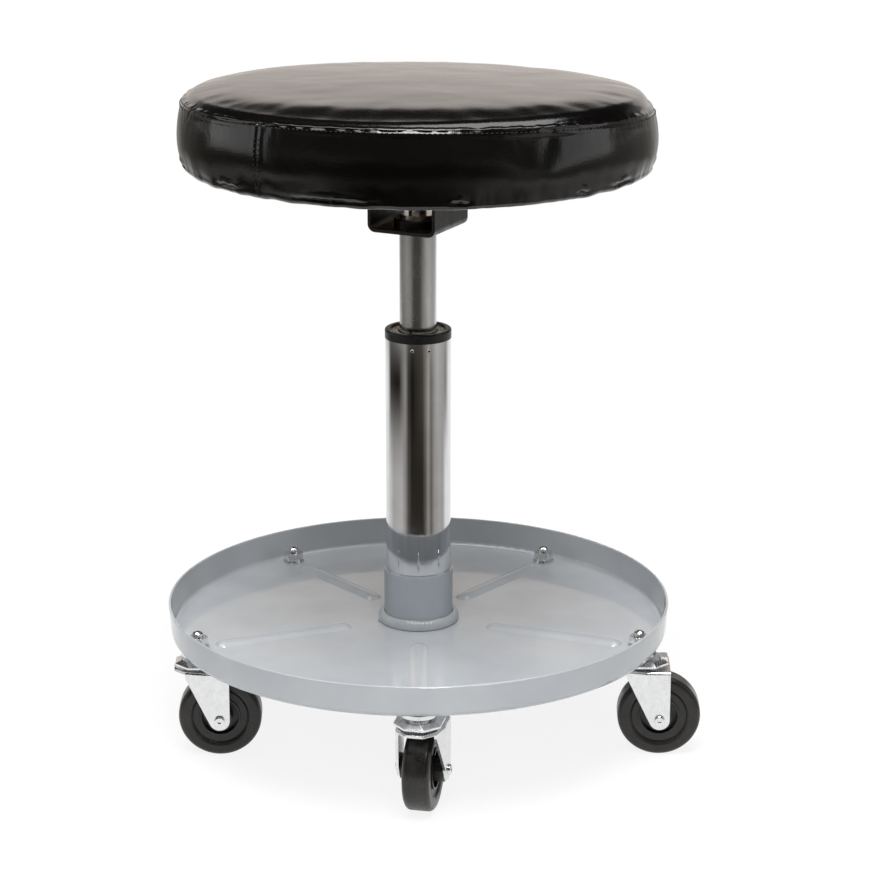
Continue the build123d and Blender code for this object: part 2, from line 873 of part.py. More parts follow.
with BuildPart() as lever_grip:
    with Locations(grip_frame):
        Cylinder(grip_radius, grip_length, align=(Align.CENTER, Align.CENTER, Align.MIN))
        Cylinder(
            lever_rod_radius,
            grip_length - grip_wall_end,
            align=(Align.CENTER, Align.CENTER, Align.MIN),
            mode=Mode.SUBTRACT,
        )
    fillet(lever_grip.edges().filter_by(GeomType.CIRCLE).sort_by(SortBy.RADIUS)[-2:], grip_wall_end)
save(lever_grip, "lever_grip")

# Seat board under the padding
with BuildPart() as seat_board:
    with Locations((0, 0, board_bottom)):
        Cylinder(board_radius, board_thickness, align=(Align.CENTER, Align.CENTER, Align.MIN))
    with Locations(*[spot * Location((0, 0, board_top)) for spot in screw_spots]):
        Cylinder(
            tee_flange_radius,
            tee_flange_thickness,
            align=(Align.CENTER, Align.CENTER, Align.MAX),
            mode=Mode.SUBTRACT,
        )
        Cylinder(
            tee_barrel_radius,
            board_thickness,
            align=(Align.CENTER, Align.CENTER, Align.MAX),
            mode=Mode.SUBTRACT,
        )
save(seat_board, "seat_board")


def cushion_side(inset):
    # Bottom corner, bulging side and domed top of the pad, drawn in by the inset
    corner = RadiusArc(
        (seat_foot_radius, seat_bottom + inset),
        (seat_foot_radius + seat_foot_corner - inset, seat_bottom + seat_foot_corner),
        inset - seat_foot_corner,
    )
    side = ThreePointArc(
        corner @ 1,
        (seat_side_radius - inset, seat_side_height),
        (seat_seam_radius - inset, seat_seam_height),
    )
    top = seat_top - inset
    half = crown_shoulder_radius / 2
    crown = ThreePointArc(
        (0, top),
        (half, top - crown_radius + sqrt(crown_radius**2 - half**2)),
        (crown_shoulder_radius, top - crown_shoulder_drop),
    )
    TangentArc(crown @ 1, side @ 1, tangent=crown % 1)
    return corner


# Foam pad that drops over the edge of the board
with BuildPart() as foam_pad:
    with BuildSketch(Plane.XZ):
        with BuildLine():
            corner = cushion_side(cover_thickness)
            Polyline(
                (0, seat_top - cover_thickness),
                (0, board_top),
                (board_radius, board_top),
                (board_radius, board_bottom),
                corner @ 0,
            )
        make_face()
    revolve(axis=Axis.Z)
save(foam_pad, "foam_pad")

# Cover sewn from a top disc and a side band, folded under the board
with BuildPart() as seat_cover:
    with BuildSketch(Plane.XZ):
        with BuildLine():
            inner_corner = cushion_side(cover_thickness)
            outer_corner = cushion_side(0)
            Line((0, seat_top - cover_thickness), (0, seat_top))
            Polyline(
                inner_corner @ 0,
                (board_radius, board_bottom),
                (cover_fold_radius, board_bottom),
                (cover_fold_radius, board_bottom - cover_thickness),
                (board_radius, board_bottom - cover_thickness),
                outer_corner @ 0,
            )
        make_face()
    revolve(axis=Axis.Z)
    with BuildSketch(Plane.XZ):
        with Locations((seat_seam_radius + seam_groove / 2, seat_seam_height)):
            Circle(seam_groove)
    revolve(axis=Axis.Z, mode=Mode.SUBTRACT)
save(seat_cover, "seat_cover")

# Staples that hold the folded edge of the cover to the board
with BuildPart() as cover_staples:
    with Locations((0, 0, board_bottom - cover_thickness)):
        with PolarLocations(staple_radius, staple_count):
            Box(
                staple_wire,
                staple_width,
                staple_wire,
                align=(Align.CENTER, Align.CENTER, Align.MAX),
            )
save(cover_staples, "cover_staples")

# Washers, spring washers and nuts on the castor stems
with BuildPart() as stem_washers:
    with Locations(*castor_places(washer_seat)):
        Cylinder(
            washer_diameter / 2, washer_thickness, align=(Align.CENTER, Align.CENTER, Align.MIN)
        )
        Cylinder(
            stem_thread_diameter / 2,
            washer_thickness,
            align=(Align.CENTER, Align.CENTER, Align.MIN),
            mode=Mode.SUBTRACT,
        )
save(stem_washers, "stem_washers")

with BuildPart() as spring_washers:
    with Locations(*castor_places(spring_seat)):
        Cylinder(
            spring_washer_diameter / 2,
            spring_washer_thickness,
            align=(Align.CENTER, Align.CENTER, Align.MIN),
        )
        Cylinder(
            stem_thread_diameter / 2,
            spring_washer_thickness,
            align=(Align.CENTER, Align.CENTER, Align.MIN),
            mode=Mode.SUBTRACT,
        )
        Box(
            spring_washer_diameter,
            spring_washer_gap,
            spring_washer_thickness,
            align=(Align.MIN, Align.CENTER, Align.MIN),
            mode=Mode.SUBTRACT,
        )
save(spring_washers, "spring_washers")

nut_corner_radius = nut_across_flats / sqrt(3)
nut_chamfer_rise = nut_corner_radius * (1 - nut_corner_share)
with BuildPart() as stem_nuts:
    with BuildSketch(Plane.XY.offset(nut_seat)):
        with Locations(*castor_places()):
            RegularPolygon(nut_across_flats / 2, 6, major_radius=False)
    extrude(amount=nut_height)
    with Locations(*castor_places(nut_seat)):
        Cone(
            nut_corner_radius + nut_height,
            nut_corner_radius * nut_corner_share,
            nut_height + nut_chamfer_rise,
            align=(Align.CENTER, Align.CENTER, Align.MIN),
            mode=Mode.INTERSECT,
        )
    with Locations(*castor_places(nut_seat)):
        Cylinder(
            stem_thread_diameter / 2,
            nut_height,
            align=(Align.CENTER, Align.CENTER, Align.MIN),
            mode=Mode.SUBTRACT,
        )
save(stem_nuts, "stem_nuts")

# Castor stems with the flange under the tray and the riveted foot in the fork
neck_bottom = plate_top + 2 * running_clearance
rivet_top = fork_crown_bottom - 2 * running_clearance
thread_radius = stem_thread_diameter / 2
dome_radius = (thread_radius**2 + stem_dome_height**2) / (2 * stem_dome_height)
dome_half = asin(thread_radius / dome_radius) / 2
with BuildPart() as castor_stems:
    for x, y in castor_spots:
        stem_plane = Plane((x, y, 0), x_dir=(1, 0, 0), z_dir=(0, -1, 0))
        with BuildSketch(stem_plane):
            with BuildLine():
                outline = Polyline(
                    (0, rivet_top - stem_rivet_height),
                    (kingpin_radius, rivet_top - stem_rivet_height),
                    (stem_rivet_radius, rivet_top),
                    (kingpin_radius, rivet_top),
                    (kingpin_radius, neck_bottom),
                    (stem_neck_radius, neck_bottom),
                    (stem_neck_radius, tray_bottom - stem_flange_height),
                    (stem_flange_radius - edge_break, tray_bottom - stem_flange_height),
                    (stem_flange_radius, tray_bottom - stem_flange_height + edge_break),
                    (stem_flange_radius, tray_bottom),
                    (stem_thread_diameter / 2, tray_bottom),
                    (stem_thread_diameter / 2, stem_top - stem_dome_height),
                )
                ThreePointArc(
                    outline @ 1,
                    (dome_radius * sin(dome_half), stem_top - dome_radius * (1 - cos(dome_half))),
                    (0, stem_top),
                )
                Line((0, stem_top), outline @ 0)
            make_face()
        revolve(axis=Axis((x, y, 0), (0, 0, 1)))
save(castor_stems, "castor_stems")

with BuildPart() as race_rings:
    with Locations(*castor_places(fork_crown_top + 2 * running_clearance)):
        Cylinder(
            race_ring_radius,
            plate_gap - 4 * running_clearance,
            align=(Align.CENTER, Align.CENTER, Align.MIN),
        )
        Cylinder(
            kingpin_radius,
            plate_gap - 4 * running_clearance,
            align=(Align.CENTER, Align.CENTER, Align.MIN),
            mode=Mode.SUBTRACT,
        )
save(race_rings, "race_rings")

# Outline of a castor leg: the slanted edge runs tangent to the rounded end at the axle
leg_front_level = leg_top - leg_front_height
slant_reach = sqrt((leg_front - castor_trail) ** 2 + (leg_front_level - wheel_radius) ** 2)
slant_heading = degrees(atan2(leg_front_level - wheel_radius, leg_front - castor_trail))
tangent_heading = slant_heading + degrees(acos(leg_end_radius / slant_reach))
tangent_spot = (
    castor_trail + leg_end_radius * cos(radians(tangent_heading)),
    wheel_radius + leg_end_radius * sin(radians(tangent_heading)),
)
slant_slope = (leg_front_level - tangent_spot[1]) / (leg_front - tangent_spot[0])
crease_level = leg_front_level + (leg_crease - leg_front) * slant_slope
wing_length = leg_crease - leg_front
wing_front = leg_crease - wing_length * cos(radians(leg_wing_angle))
wing_front_half = fork_outer_half - wing_length * sin(radians(leg_wing_angle))


def make_fork(frame, name):
    across = Axis(frame.position, Plane(frame).y_dir)
    with BuildPart() as fork:
        with BuildSketch(Plane(frame * Location((0, 0, fork_crown_bottom)))):
            with BuildLine():
                nose = Polyline(
                    (leg_end, fork_outer_half),
                    (leg_crease, fork_outer_half),
                    (wing_front, wing_front_half),
                    (crown_nose, crown_nose_half_width),
                )
                tail = Polyline(
                    (crown_nose, -crown_nose_half_width),
                    (wing_front, -wing_front_half),
                    (leg_crease, -fork_outer_half),
                    (leg_end, -fork_outer_half),
                    (leg_end, fork_outer_half),
                )
                ThreePointArc(nose @ 1, (crown_nose - edge_break, 0), tail @ 0)
            make_face()
        extrude(amount=fork_sheet)
        for side in (-1, 1):
            leg_frame = frame * Location((0, side * fork_outer_half, 0), (90, 0, 0))
            wing_frame = (
                frame
                * Location((leg_crease, side * fork_outer_half, 0), (0, 0, side * leg_wing_angle))
                * Location((0, 0, 0), (90, 0, 0))
            )
            with BuildSketch(Plane(leg_frame)):
                Polygon(
                    (leg_crease, leg_top),
                    (leg_crease, crease_level),
                    tangent_spot,
                    (castor_trail, wheel_radius),
                    (leg_end, wheel_radius),
                    (leg_end, leg_top),
                    align=None,
                )
                with Locations((castor_trail, wheel_radius)):
                    Circle(leg_end_radius)
                    Circle(axle_diameter / 2, mode=Mode.SUBTRACT)
            extrude(amount=side * fork_sheet)
            with BuildSketch(Plane(wing_frame)):
                Polygon(
                    (0, leg_top),
                    (-wing_length, leg_top),
                    (-wing_length, leg_front_level),
                    (0, crease_level),
                    align=None,
                )
            extrude(amount=side * fork_sheet)
        top_edges = fork.faces().sort_by(Axis.Z)[-1].edges()
        bends = top_edges.filter_by_position(across, wing_front_half / 2, fork_outer_half * 2)
        bends += top_edges.filter_by_position(across, -fork_outer_half * 2, -wing_front_half / 2)
        bends = [e for e in bends if e.length > wing_length * leg_share]
        fillet(bends, fork_bend_radius)
        with Locations(frame * Location((0, 0, fork_crown_bottom))):
            Cylinder(
                kingpin_radius + running_clearance,
                fork_sheet,
                align=(Align.CENTER, Align.CENTER, Align.MIN),
                mode=Mode.SUBTRACT,
            )
    save(fork, name)


def plate_outline(nose, tail, half, cut):
    return [
        (-nose, -half + cut),
        (-nose + cut, -half),
        (tail - cut, -half),
        (tail, -half + cut),
        (tail, half - cut),
        (tail - cut, half),
        (-nose + cut, half),
        (-nose, half - cut),
    ]


def make_plate(frame, name):
    inset = (plate_width - plate_top_width) / 2
    rim_top = plate_bottom + plate_rim_height
    wide = plate_outline(plate_nose, plate_tail, plate_width / 2, plate_corner_cut)
    narrow = plate_outline(
        plate_nose - inset,
        plate_tail - inset,
        plate_top_width / 2,
        plate_corner_cut * plate_top_width / plate_width,
    )
    with BuildPart() as plate:
        with BuildSketch(Plane(frame * Location((0, 0, plate_bottom)))):
            Polygon(*wide, align=None)
        extrude(amount=plate_rim_height)
        with BuildSketch(Plane(frame * Location((0, 0, rim_top)))):
            Polygon(*wide, align=None)
        with BuildSketch(Plane(frame * Location((0, 0, plate_top)))):
            Polygon(*narrow, align=None)
        loft(ruled=True)
        with BuildSketch(Plane(frame * Location((ear_start + ear_length / 2, 0, rim_top)))):
            RectangleRounded(ear_length, ear_width, ear_corner_radius)
        extrude(amount=ear_height)
        with Locations(frame * Location((0, 0, plate_bottom))):
            Cylinder(
                kingpin_radius + running_clearance,
                plate_top,
                align=(Align.CENTER, Align.CENTER, Align.MIN),
                mode=Mode.SUBTRACT,
            )
    save(plate, name)


def make_axle(frame, name):
    head_seat = fork_outer_half
    with BuildPart() as axle:
        with Locations(frame * Location((castor_trail, 0, wheel_radius), (90, 0, 0))):
            Cylinder(axle_diameter / 2, 2 * fork_outer_half)
            for side in (-1, 1):
                with Locations((0, 0, side * (head_seat + axle_head_height / 2))):
                    Cylinder(axle_head_diameter / 2, axle_head_height)
        rims = axle.edges().filter_by(GeomType.CIRCLE)
        outer_rims = [rims.sort_by(Axis(frame.position, Plane(frame).y_dir))[i] for i in (0, -1)]
        fillet(outer_rims, axle_head_height / 2)
        for side in (-1, 1):
            reach = side * (head_seat + axle_head_height - axle_socket_depth / 2)
            with Locations(frame * Location((castor_trail, reach, wheel_radius), (90, 0, 0))):
                Cylinder(axle_socket_diameter / 2, axle_socket_depth, mode=Mode.SUBTRACT)
    save(axle, name)


def make_wheel(frame, name):
    hub = frame * Location((castor_trail, 0, wheel_radius))
    ahead = Plane(frame).x_dir
    across = Plane(frame).y_dir
    web = wheel_web_width / 2
    half_profile = [
        (axle_diameter / 2 + running_clearance, wheel_boss_length / 2),
        (wheel_boss_radius, wheel_boss_length / 2),
        (wheel_boss_radius, web - wheel_recess_depth),
        (wheel_recess_radius, web - wheel_recess_depth),
        (wheel_recess_radius, web + wheel_ridge_height),
        (wheel_inner_ridge_radius, web + wheel_ridge_height),
        (wheel_inner_ridge_radius, web),
        (wheel_dish_radius, web),
        (wheel_groove_outer_radius, web + wheel_ridge_height),
        (wheel_ridge_radius, wheel_half),
        (wheel_radius - wheel_shoulder_radius, wheel_half),
    ]
    far_profile = [(r, -a) for r, a in reversed(half_profile)]
    with BuildPart() as wheel:
        with BuildSketch(Plane(hub.position, x_dir=(0, 0, 1), z_dir=ahead)):
            with BuildLine():
                near = Polyline(*half_profile)
                shoulder = RadiusArc(
                    near @ 1,
                    (wheel_radius, wheel_half - wheel_shoulder_radius),
                    wheel_shoulder_radius,
                )
                far = Polyline(*far_profile)
                far_shoulder = RadiusArc(
                    (wheel_radius, -wheel_half + wheel_shoulder_radius),
                    far @ 0,
                    wheel_shoulder_radius,
                )
                Line(shoulder @ 1, far_shoulder @ 0)
                Line(far @ 1, near @ 0)
            make_face()
        revolve(axis=Axis(hub.position, across))
    save(wheel, name)


# The five castors, each turned the way it stood
for number, (x, y) in enumerate(castor_spots):
    castor_frame = Location((x, y, 0), (0, 0, castor_headings[number]))
    make_fork(castor_frame, f"castor_fork_{number + 1}")
    make_plate(castor_frame, f"castor_plate_{number + 1}")
    make_axle(castor_frame, f"castor_axle_{number + 1}")
    make_wheel(castor_frame, f"castor_wheel_{number + 1}")
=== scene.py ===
import math

import bpy
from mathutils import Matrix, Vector, noise


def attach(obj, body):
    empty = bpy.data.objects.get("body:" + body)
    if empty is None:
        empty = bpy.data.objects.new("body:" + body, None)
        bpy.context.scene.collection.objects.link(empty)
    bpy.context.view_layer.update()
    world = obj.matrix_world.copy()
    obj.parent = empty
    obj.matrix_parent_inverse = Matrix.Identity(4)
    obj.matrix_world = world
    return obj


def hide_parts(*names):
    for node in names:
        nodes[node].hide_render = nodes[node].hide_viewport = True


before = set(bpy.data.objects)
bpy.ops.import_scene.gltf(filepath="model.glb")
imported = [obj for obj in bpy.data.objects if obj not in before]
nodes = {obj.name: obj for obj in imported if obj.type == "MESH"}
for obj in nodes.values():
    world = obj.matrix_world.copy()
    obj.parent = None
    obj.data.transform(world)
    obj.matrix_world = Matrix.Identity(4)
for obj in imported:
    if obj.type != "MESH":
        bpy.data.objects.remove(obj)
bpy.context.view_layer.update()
print("stage 1: frame loaded,", len(nodes), "pieces")

mm = 0.001


# small helpers
def linear(hexColour):
    # sRGB hex to the linear values that the shaders work in
    parts = [int(hexColour[i:i + 2], 16) / 255 for i in (1, 3, 5)]
    return tuple(c / 12.92 if c <= 0.04045 else ((c + 0.055) / 1.055) ** 2.4 for c in parts) + (1,)


def addNode(tree, kind, values=None, links=None, stops=None, **settings):
    # one node with its settings, its socket values and its links. Sockets go by name, or by number
    # where names repeat: 1 to 4 of a map range are from and to, 0, 6 and 7 of a mix share and colours
    node = tree.nodes.new(kind)
    for name, value in settings.items():
        setattr(node, name, value)
    for socket, value in (values or {}).items():
        node.inputs[socket].default_value = value
    for socket, source in (links or {}).items():
        tree.links.new(source, node.inputs[socket])
    if stops:
        ramp = node.color_ramp
        while len(ramp.elements) < len(stops):
            ramp.elements.new(0.5)
        for element, (place, colour) in zip(ramp.elements, stops):
            element.position = place
            element.color = colour
    return node


def newMaterial(name):
    material = bpy.data.materials.new(name)
    material.use_nodes = True
    material.node_tree.nodes.clear()
    return material, material.node_tree


def finishMaterial(tree, shader):
    addNode(tree, "ShaderNodeOutputMaterial", links={"Surface": shader.outputs[0]})


def meshPiece(name, points, faces):
    data = bpy.data.meshes.new(name)
    data.from_pydata(points, [], faces)
    data.validate()
    data.polygons.foreach_set("use_smooth", [True] * len(data.polygons))
    piece = bpy.data.objects.new(name, data)
    bpy.context.scene.collection.objects.link(piece)
    return piece


def bump(distance, middle, width):
    # 1 at the middle, falling smoothly to almost 0 at two widths away
    return math.exp(-((distance - middle) / width) ** 2)


def angleFrom(a, b):
    # signed difference of two bearings in degrees
    return (a - b + 180) % 360 - 180


# camera at the photograph's angle
cameraView = {
    "place": (0, -2.0, 0.82995), "pitch": -0.288, "turn": -0.0064,  # metres and radians
    "lens": 112.466, "sensor": 36, "clip": (0.05, 60),
}
cameraData = bpy.data.cameras.new("camera")
cameraData.lens = cameraView["lens"]
cameraData.sensor_width = cameraView["sensor"]
cameraData.sensor_fit = "HORIZONTAL"
cameraData.clip_start, cameraData.clip_end = cameraView["clip"]
camera = bpy.data.objects.new("camera", cameraData)
camera.location = cameraView["place"]
camera.rotation_euler = (math.pi / 2 + cameraView["pitch"], 0, cameraView["turn"])
bpy.context.scene.collection.objects.link(camera)
bpy.context.scene.camera = camera
bpy.context.scene.view_settings.view_transform = "Standard"

# soft boxes: watts, width, height, place in metres, turn in degrees, colour, mirrored or not
lamps = {
    "topBox": (44.0, 3.2, 1.2, (0.0, 0.2, 2.5), (0, 0, 0), "#FFFFFF", True),
    "backBox": (10.3, 4.2, 1.28, (0.0, 3.4, 0.94), (-90, 0, 0), "#FFF3EA", True),
    "leftBox": (9.0, 1.9, 1.9, (-2.6, 0.1, 1.15), (0, -90, 0), "#FFFFFF", True),
    "rightBox": (9.0, 1.9, 1.9, (2.6, -0.4, 1.15), (0, 90, 0), "#FFFFFF", True),
    "frontBox": (64.0, 1.2, 1.2, (0.0, -1.05, 2.6), (23, 0, 0), "#FFFFFF", True),
    # the fill beside the camera sits behind a polarising sheet, so that nothing mirrors it
    "fillBox": (44.0, 2.4, 2.4, (0.0, -2.4, 2.1), (50, 0, 0), "#FFFFFF", False),
}


def softBox(name, power, width, height, place, turn, colour, mirrored):
    lamp = bpy.data.lights.new(name, "AREA")
    lamp.shape = "RECTANGLE"
    lamp.size = width
    lamp.size_y = height
    lamp.energy = power
    lamp.color = linear(colour)[:3]
    holder = bpy.data.objects.new(name, lamp)
    holder.location = place
    holder.rotation_euler = [math.radians(a) for a in turn]
    holder.visible_camera = False
    holder.visible_glossy = mirrored
    bpy.context.scene.collection.objects.link(holder)


for name, look in lamps.items():
    softBox(name, *look)

# matt white laminate on the table: pale and even, keeps only a soft shadow
laminate = {
    "size": 30.0, "colour": "#EDEDEC", "fleck": "#EAEAE9", "fleckMm": 11.11, "fleckStops": (0.3, 0.7),
    # share of plain white that camera and mirrors see near the stool and far off, and where it changes
    "glow": (0.86, 1.0), "glowFrom": (0.45, 1.1),
}
half = laminate["size"] / 2
table = meshPiece(
    "table", [(-half, -half, 0), (half, -half, 0), (half, half, 0), (-half, half, 0)], [(0, 1, 2, 3)]
)
tableTop, tree = newMaterial("mattWhiteLaminate")
where = addNode(tree, "ShaderNodeTexCoord")
fleck = addNode(
    tree, "ShaderNodeTexNoise", {"Scale": 1 / (laminate["fleckMm"] * mm), "Detail": 3.0},
    {"Vector": where.outputs["Object"]},
)
fleckTone = addNode(
    tree, "ShaderNodeValToRGB", links={"Fac": fleck.outputs["Fac"]},
    stops=list(zip(laminate["fleckStops"], (linear(laminate["fleck"]), linear(laminate["colour"])))),
)
matt = addNode(tree, "ShaderNodeBsdfDiffuse", links={"Color": fleckTone.outputs["Color"]})
glow = addNode(tree, "ShaderNodeEmission", {"Color": (1, 1, 1, 1), "Strength": 1.0})
ray = addNode(tree, "ShaderNodeLightPath")
direct = addNode(
    tree, "ShaderNodeMath",
    links={0: ray.outputs["Is Camera Ray"], 1: ray.outputs["Is Glossy Ray"]}, operation="MAXIMUM",
)
reach = addNode(
    tree, "ShaderNodeVectorMath", links={0: where.outputs["Object"]}, operation="LENGTH"
)
fade = addNode(
    tree, "ShaderNodeMapRange",
    {1: laminate["glowFrom"][0], 2: laminate["glowFrom"][1],
     3: laminate["glow"][0], 4: laminate["glow"][1]},
    {0: reach.outputs["Value"]}, interpolation_type="SMOOTHSTEP",
)
seen = addNode(
    tree, "ShaderNodeMath", links={0: direct.outputs[0], 1: fade.outputs[0]}, operation="MULTIPLY"
)
both = addNode(
    tree, "ShaderNodeMixShader",
    links={0: seen.outputs[0], 1: matt.outputs[0], 2: glow.outputs[0]},
)
finishMaterial(tree, both)
table.data.materials.append(tableTop)

# a glowing ring laid round the stool in place of studio cloth, in strips from dark to white: painted
# reflections and painted light.
# The camera never sees it, but the chrome and the gloss mirror it, and its glow sets the light from low
# down
glowingCloth = {
    "inner": 0.50, "outer": 14.0, "height": 1.0 * mm, "steps": 96,
    "tint": (1.0, 1.04, 1.1),  # powers for red, green and blue, so that darker strips are warmer
    # for each distance in metres: bearing, 0 towards the camera and positive to the right in its
    # picture, and brightness
    "tones": {
        0.65: [
            (-180, 1.00), (-133, 0.92), (-96, 0.50), (-60, 0.56), (-46, 0.34), (-35, 0.09),
            (-24, 0.03), (15, 0.03), (24, 0.12), (35, 0.34), (46, 0.15), (58, 0.40), (80, 0.50),
            (95, 0.45), (112, 1.00), (180, 1.00),
        ],
        1.05: [
            (-180, 1.00), (-132, 0.95), (-112, 0.045), (-82, 0.015), (-69, 0.02), (-57, 0.18),
            (-46, 0.35), (-35, 0.05), (-20, 0.01), (0, 0.045), (15, 0.07), (25, 0.22), (35, 0.43),
            (46, 0.19), (57, 0.38), (69, 0.52), (95, 0.44), (112, 0.30), (132, 1.00), (180, 1.00),
        ],
        1.5: [
            (-180, 0.90), (-125, 0.22), (-93, 0.40), (-69, 0.60), (-47, 0.36), (-28, 0.13), (9, 0.11),
            (28, 0.27), (47, 0.55), (69, 0.66), (93, 0.50), (125, 0.50), (150, 1.00), (180, 1.00),
        ],
        2.3: [
            (-180, 0.60), (-157, 0.35), (-139, 0.14), (-110, 0.06), (-60, 0.03), (-35, 0.02),
            (-20, 0.01), (30, 0.01), (40, 0.07), (52, 0.28), (62, 0.13), (97, 0.17), (134, 0.22),
            (157, 0.50), (180, 0.60),
        ],
    },
}
ringSteps = glowingCloth["steps"]
ringPoints = []
for i in range(ringSteps):
    a = 2 * math.pi * i / ringSteps
    for r in (glowingCloth["inner"], glowingCloth["outer"]):
        ringPoints.append((r * math.cos(a), r * math.sin(a), glowingCloth["height"]))
ringFaces = [
    (2 * i, 2 * i + 1, (2 * i + 3) % (2 * ringSteps), (2 * i + 2) % (2 * ringSteps))
    for i in range(ringSteps)
]
glowingClothRing = meshPiece("glowingClothRing", ringPoints, ringFaces)
glowingClothMaterial, tree = newMaterial("glowingStudioCloth")
where = addNode(tree, "ShaderNodeTexCoord")
turned = addNode(
    tree, "ShaderNodeMapping", {"Rotation": (0, 0, math.radians(90))},
    {"Vector": where.outputs["Object"]},
)
sweep = addNode(
    tree, "ShaderNodeTexGradient", links={"Vector": turned.outputs[0]}, gradient_type="RADIAL"
)
away = addNode(
    tree, "ShaderNodeVectorMath", links={0: where.outputs["Object"]}, operation="LENGTH"
)
sweepTone, lastAway = None, 0
for at, tones in glowingCloth["tones"].items():
    ring = addNode(
        tree, "ShaderNodeValToRGB", links={"Fac": sweep.outputs["Fac"]},
        stops=[((a + 180) / 360, tuple(v ** power for power in glowingCloth["tint"]) + (1,)) for a, v in tones],
    ).outputs["Color"]
    if sweepTone:
        share = addNode(
            tree, "ShaderNodeMapRange", {1: lastAway, 2: at, 3: 0.0, 4: 1.0},
            {0: away.outputs["Value"]}, interpolation_type="SMOOTHSTEP",
        )
        ring = addNode(
            tree, "ShaderNodeMix", links={0: share.outputs[0], 6: sweepTone, 7: ring},
            data_type="RGBA",
        ).outputs[2]
    sweepTone, lastAway = ring, at
# the painted tones glow, so the ring lights the stool from low down like a lamp as well as showing in
# mirrors
lit = addNode(tree, "ShaderNodeEmission", {"Strength": 1.0}, {"Color": sweepTone})
finishMaterial(tree, lit)
glowingClothRing.data.materials.append(glowingClothMaterial)
glowingClothRing.visible_camera = False
glowingClothRing.visible_shadow = False
glowingClothRing.visible_transmission = False

# the room: plain white for the camera, dim for everything else and almost dark high up
room = {
    "colour": "#FFFCF9", "front": 0.06, "back": 0.22, "depthStops": (-0.35, 0.45),
    "lowShare": 1.0, "highShare": 0.04, "heightStops": (0.21, 0.36),
}
world = bpy.data.worlds.new("studioRoom")
bpy.context.scene.world = world
world.use_nodes = True
tree = world.node_tree
tree.nodes.clear()
where = addNode(tree, "ShaderNodeTexCoord")
aim = addNode(tree, "ShaderNodeSeparateXYZ", links={0: where.outputs["Generated"]})
depth = addNode(
    tree, "ShaderNodeMapRange",
    {1: room["depthStops"][0], 2: room["depthStops"][1], 3: room["front"], 4: room["back"]},
    {0: aim.outputs["Y"]}, interpolation_type="SMOOTHSTEP",
)
lift = addNode(
    tree, "ShaderNodeMapRange",
    {1: room["heightStops"][0], 2: room["heightStops"][1], 3: room["lowShare"], 4: room["highShare"]},
    {0: aim.outputs["Z"]}, interpolation_type="SMOOTHSTEP",
)
level = addNode(
    tree, "ShaderNodeMath", links={0: depth.outputs[0], 1: lift.outputs[0]}, operation="MULTIPLY"
)
dim = addNode(
    tree, "ShaderNodeBackground", {"Color": linear(room["colour"])}, {"Strength": level.outputs[0]}
)
white = addNode(tree, "ShaderNodeBackground", {"Color": (1, 1, 1, 1), "Strength": 1.0})
ray = addNode(tree, "ShaderNodeLightPath")
both = addNode(
    tree, "ShaderNodeMixShader",
    links={0: ray.outputs["Is Camera Ray"], 1: dim.outputs[0], 2: white.outputs[0]},
)
addNode(tree, "ShaderNodeOutputWorld", links={"Surface": both.outputs[0]})
print("stage 2: camera and studio ready")

# finishes, each named for what it is. The clouds of its shades, its wear and its grain are noises:
# size in millimetres, detail and roughness
finishes = {}


def startFinish(slotName, name):
    material, tree = newMaterial(name)
    finishes[slotName] = material
    place = addNode(tree, "ShaderNodeTexCoord").outputs["Object"]
    return tree, place


def noiseValues(pattern):
    sizeMm, detail, rough = pattern
    return {"Scale": 1 / (sizeMm * mm), "Detail": detail, "Roughness": rough}


def cloudyTone(tree, place, look):
    # the shades of a finish, mixed in soft clouds
    cloud = addNode(tree, "ShaderNodeTexNoise", noiseValues(look["cloud"]), {"Vector": place})
    shades = [linear(shade) for shade in look["shades"]]
    return addNode(
        tree, "ShaderNodeValToRGB", links={"Fac": cloud.outputs["Fac"]},
        stops=list(zip(look["cloudStops"], shades)),
    ).outputs["Color"]


def wornSheen(tree, place, look):
    # roughness between two shares of its middle value, duller where the wear is
    wear = addNode(tree, "ShaderNodeTexNoise", noiseValues(look["wear"]), {"Vector": place})
    start, end = look["wearStops"]
    low, high = look["roughShares"]
    return addNode(
        tree, "ShaderNodeMapRange",
        {1: start, 2: end, 3: look["rough"] * low, 4: look["rough"] * high},
        {0: wear.outputs["Fac"]},
    ).outputs[0]


def grainSkin(tree, place, look, under=None):
    # fine relief: its height in millimetres and its strength, over the normal of what is under it
    grain = addNode(tree, "ShaderNodeTexNoise", noiseValues(look["grain"]), {"Vector": place})
    height, strength = look["grainHeight"]
    links = {"Height": grain.outputs["Fac"]}
    if under:
        links["Normal"] = under
    return addNode(
        tree, "ShaderNodeBump", {"Strength": strength, "Distance": height * mm}, links
    ).outputs[0]


def edgeWear(tree, tone, look):
    # a paler tone where the surface turns sharply, and the softened normal of the edges
    soft = addNode(tree, "ShaderNodeBevel", {"Radius": look["edgeMm"] * mm}, samples=3)
    plain = addNode(tree, "ShaderNodeNewGeometry")
    turn = addNode(
        tree, "ShaderNodeVectorMath", links={0: soft.outputs[0], 1: plain.outputs["Normal"]},
        operation="DOT_PRODUCT",
    )
    start, end = look["edgeTurn"]
    mask = addNode(
        tree, "ShaderNodeMapRange", {1: start, 2: end, 3: 0.0, 4: look["edgeShare"]},
        {0: turn.outputs["Value"]},
    )
    worn = addNode(
        tree, "ShaderNodeMix", {7: linear(look["edge"])}, {0: mask.outputs[0], 6: tone},
        data_type="RGBA",
    )
    return worn.outputs[2], soft.outputs[0]


def closeFinish(tree, tone, sheen, skin, **values):
    # the surface itself, from its tone, its roughness as a value or a link, and its relief
    links = {"Base Color": tone, "Normal": skin}
    if isinstance(sheen, float):
        values["Roughness"] = sheen
    else:
        links["Roughness"] = sheen
    finishMaterial(tree, addNode(tree, "ShaderNodeBsdfPrincipled", values, links))


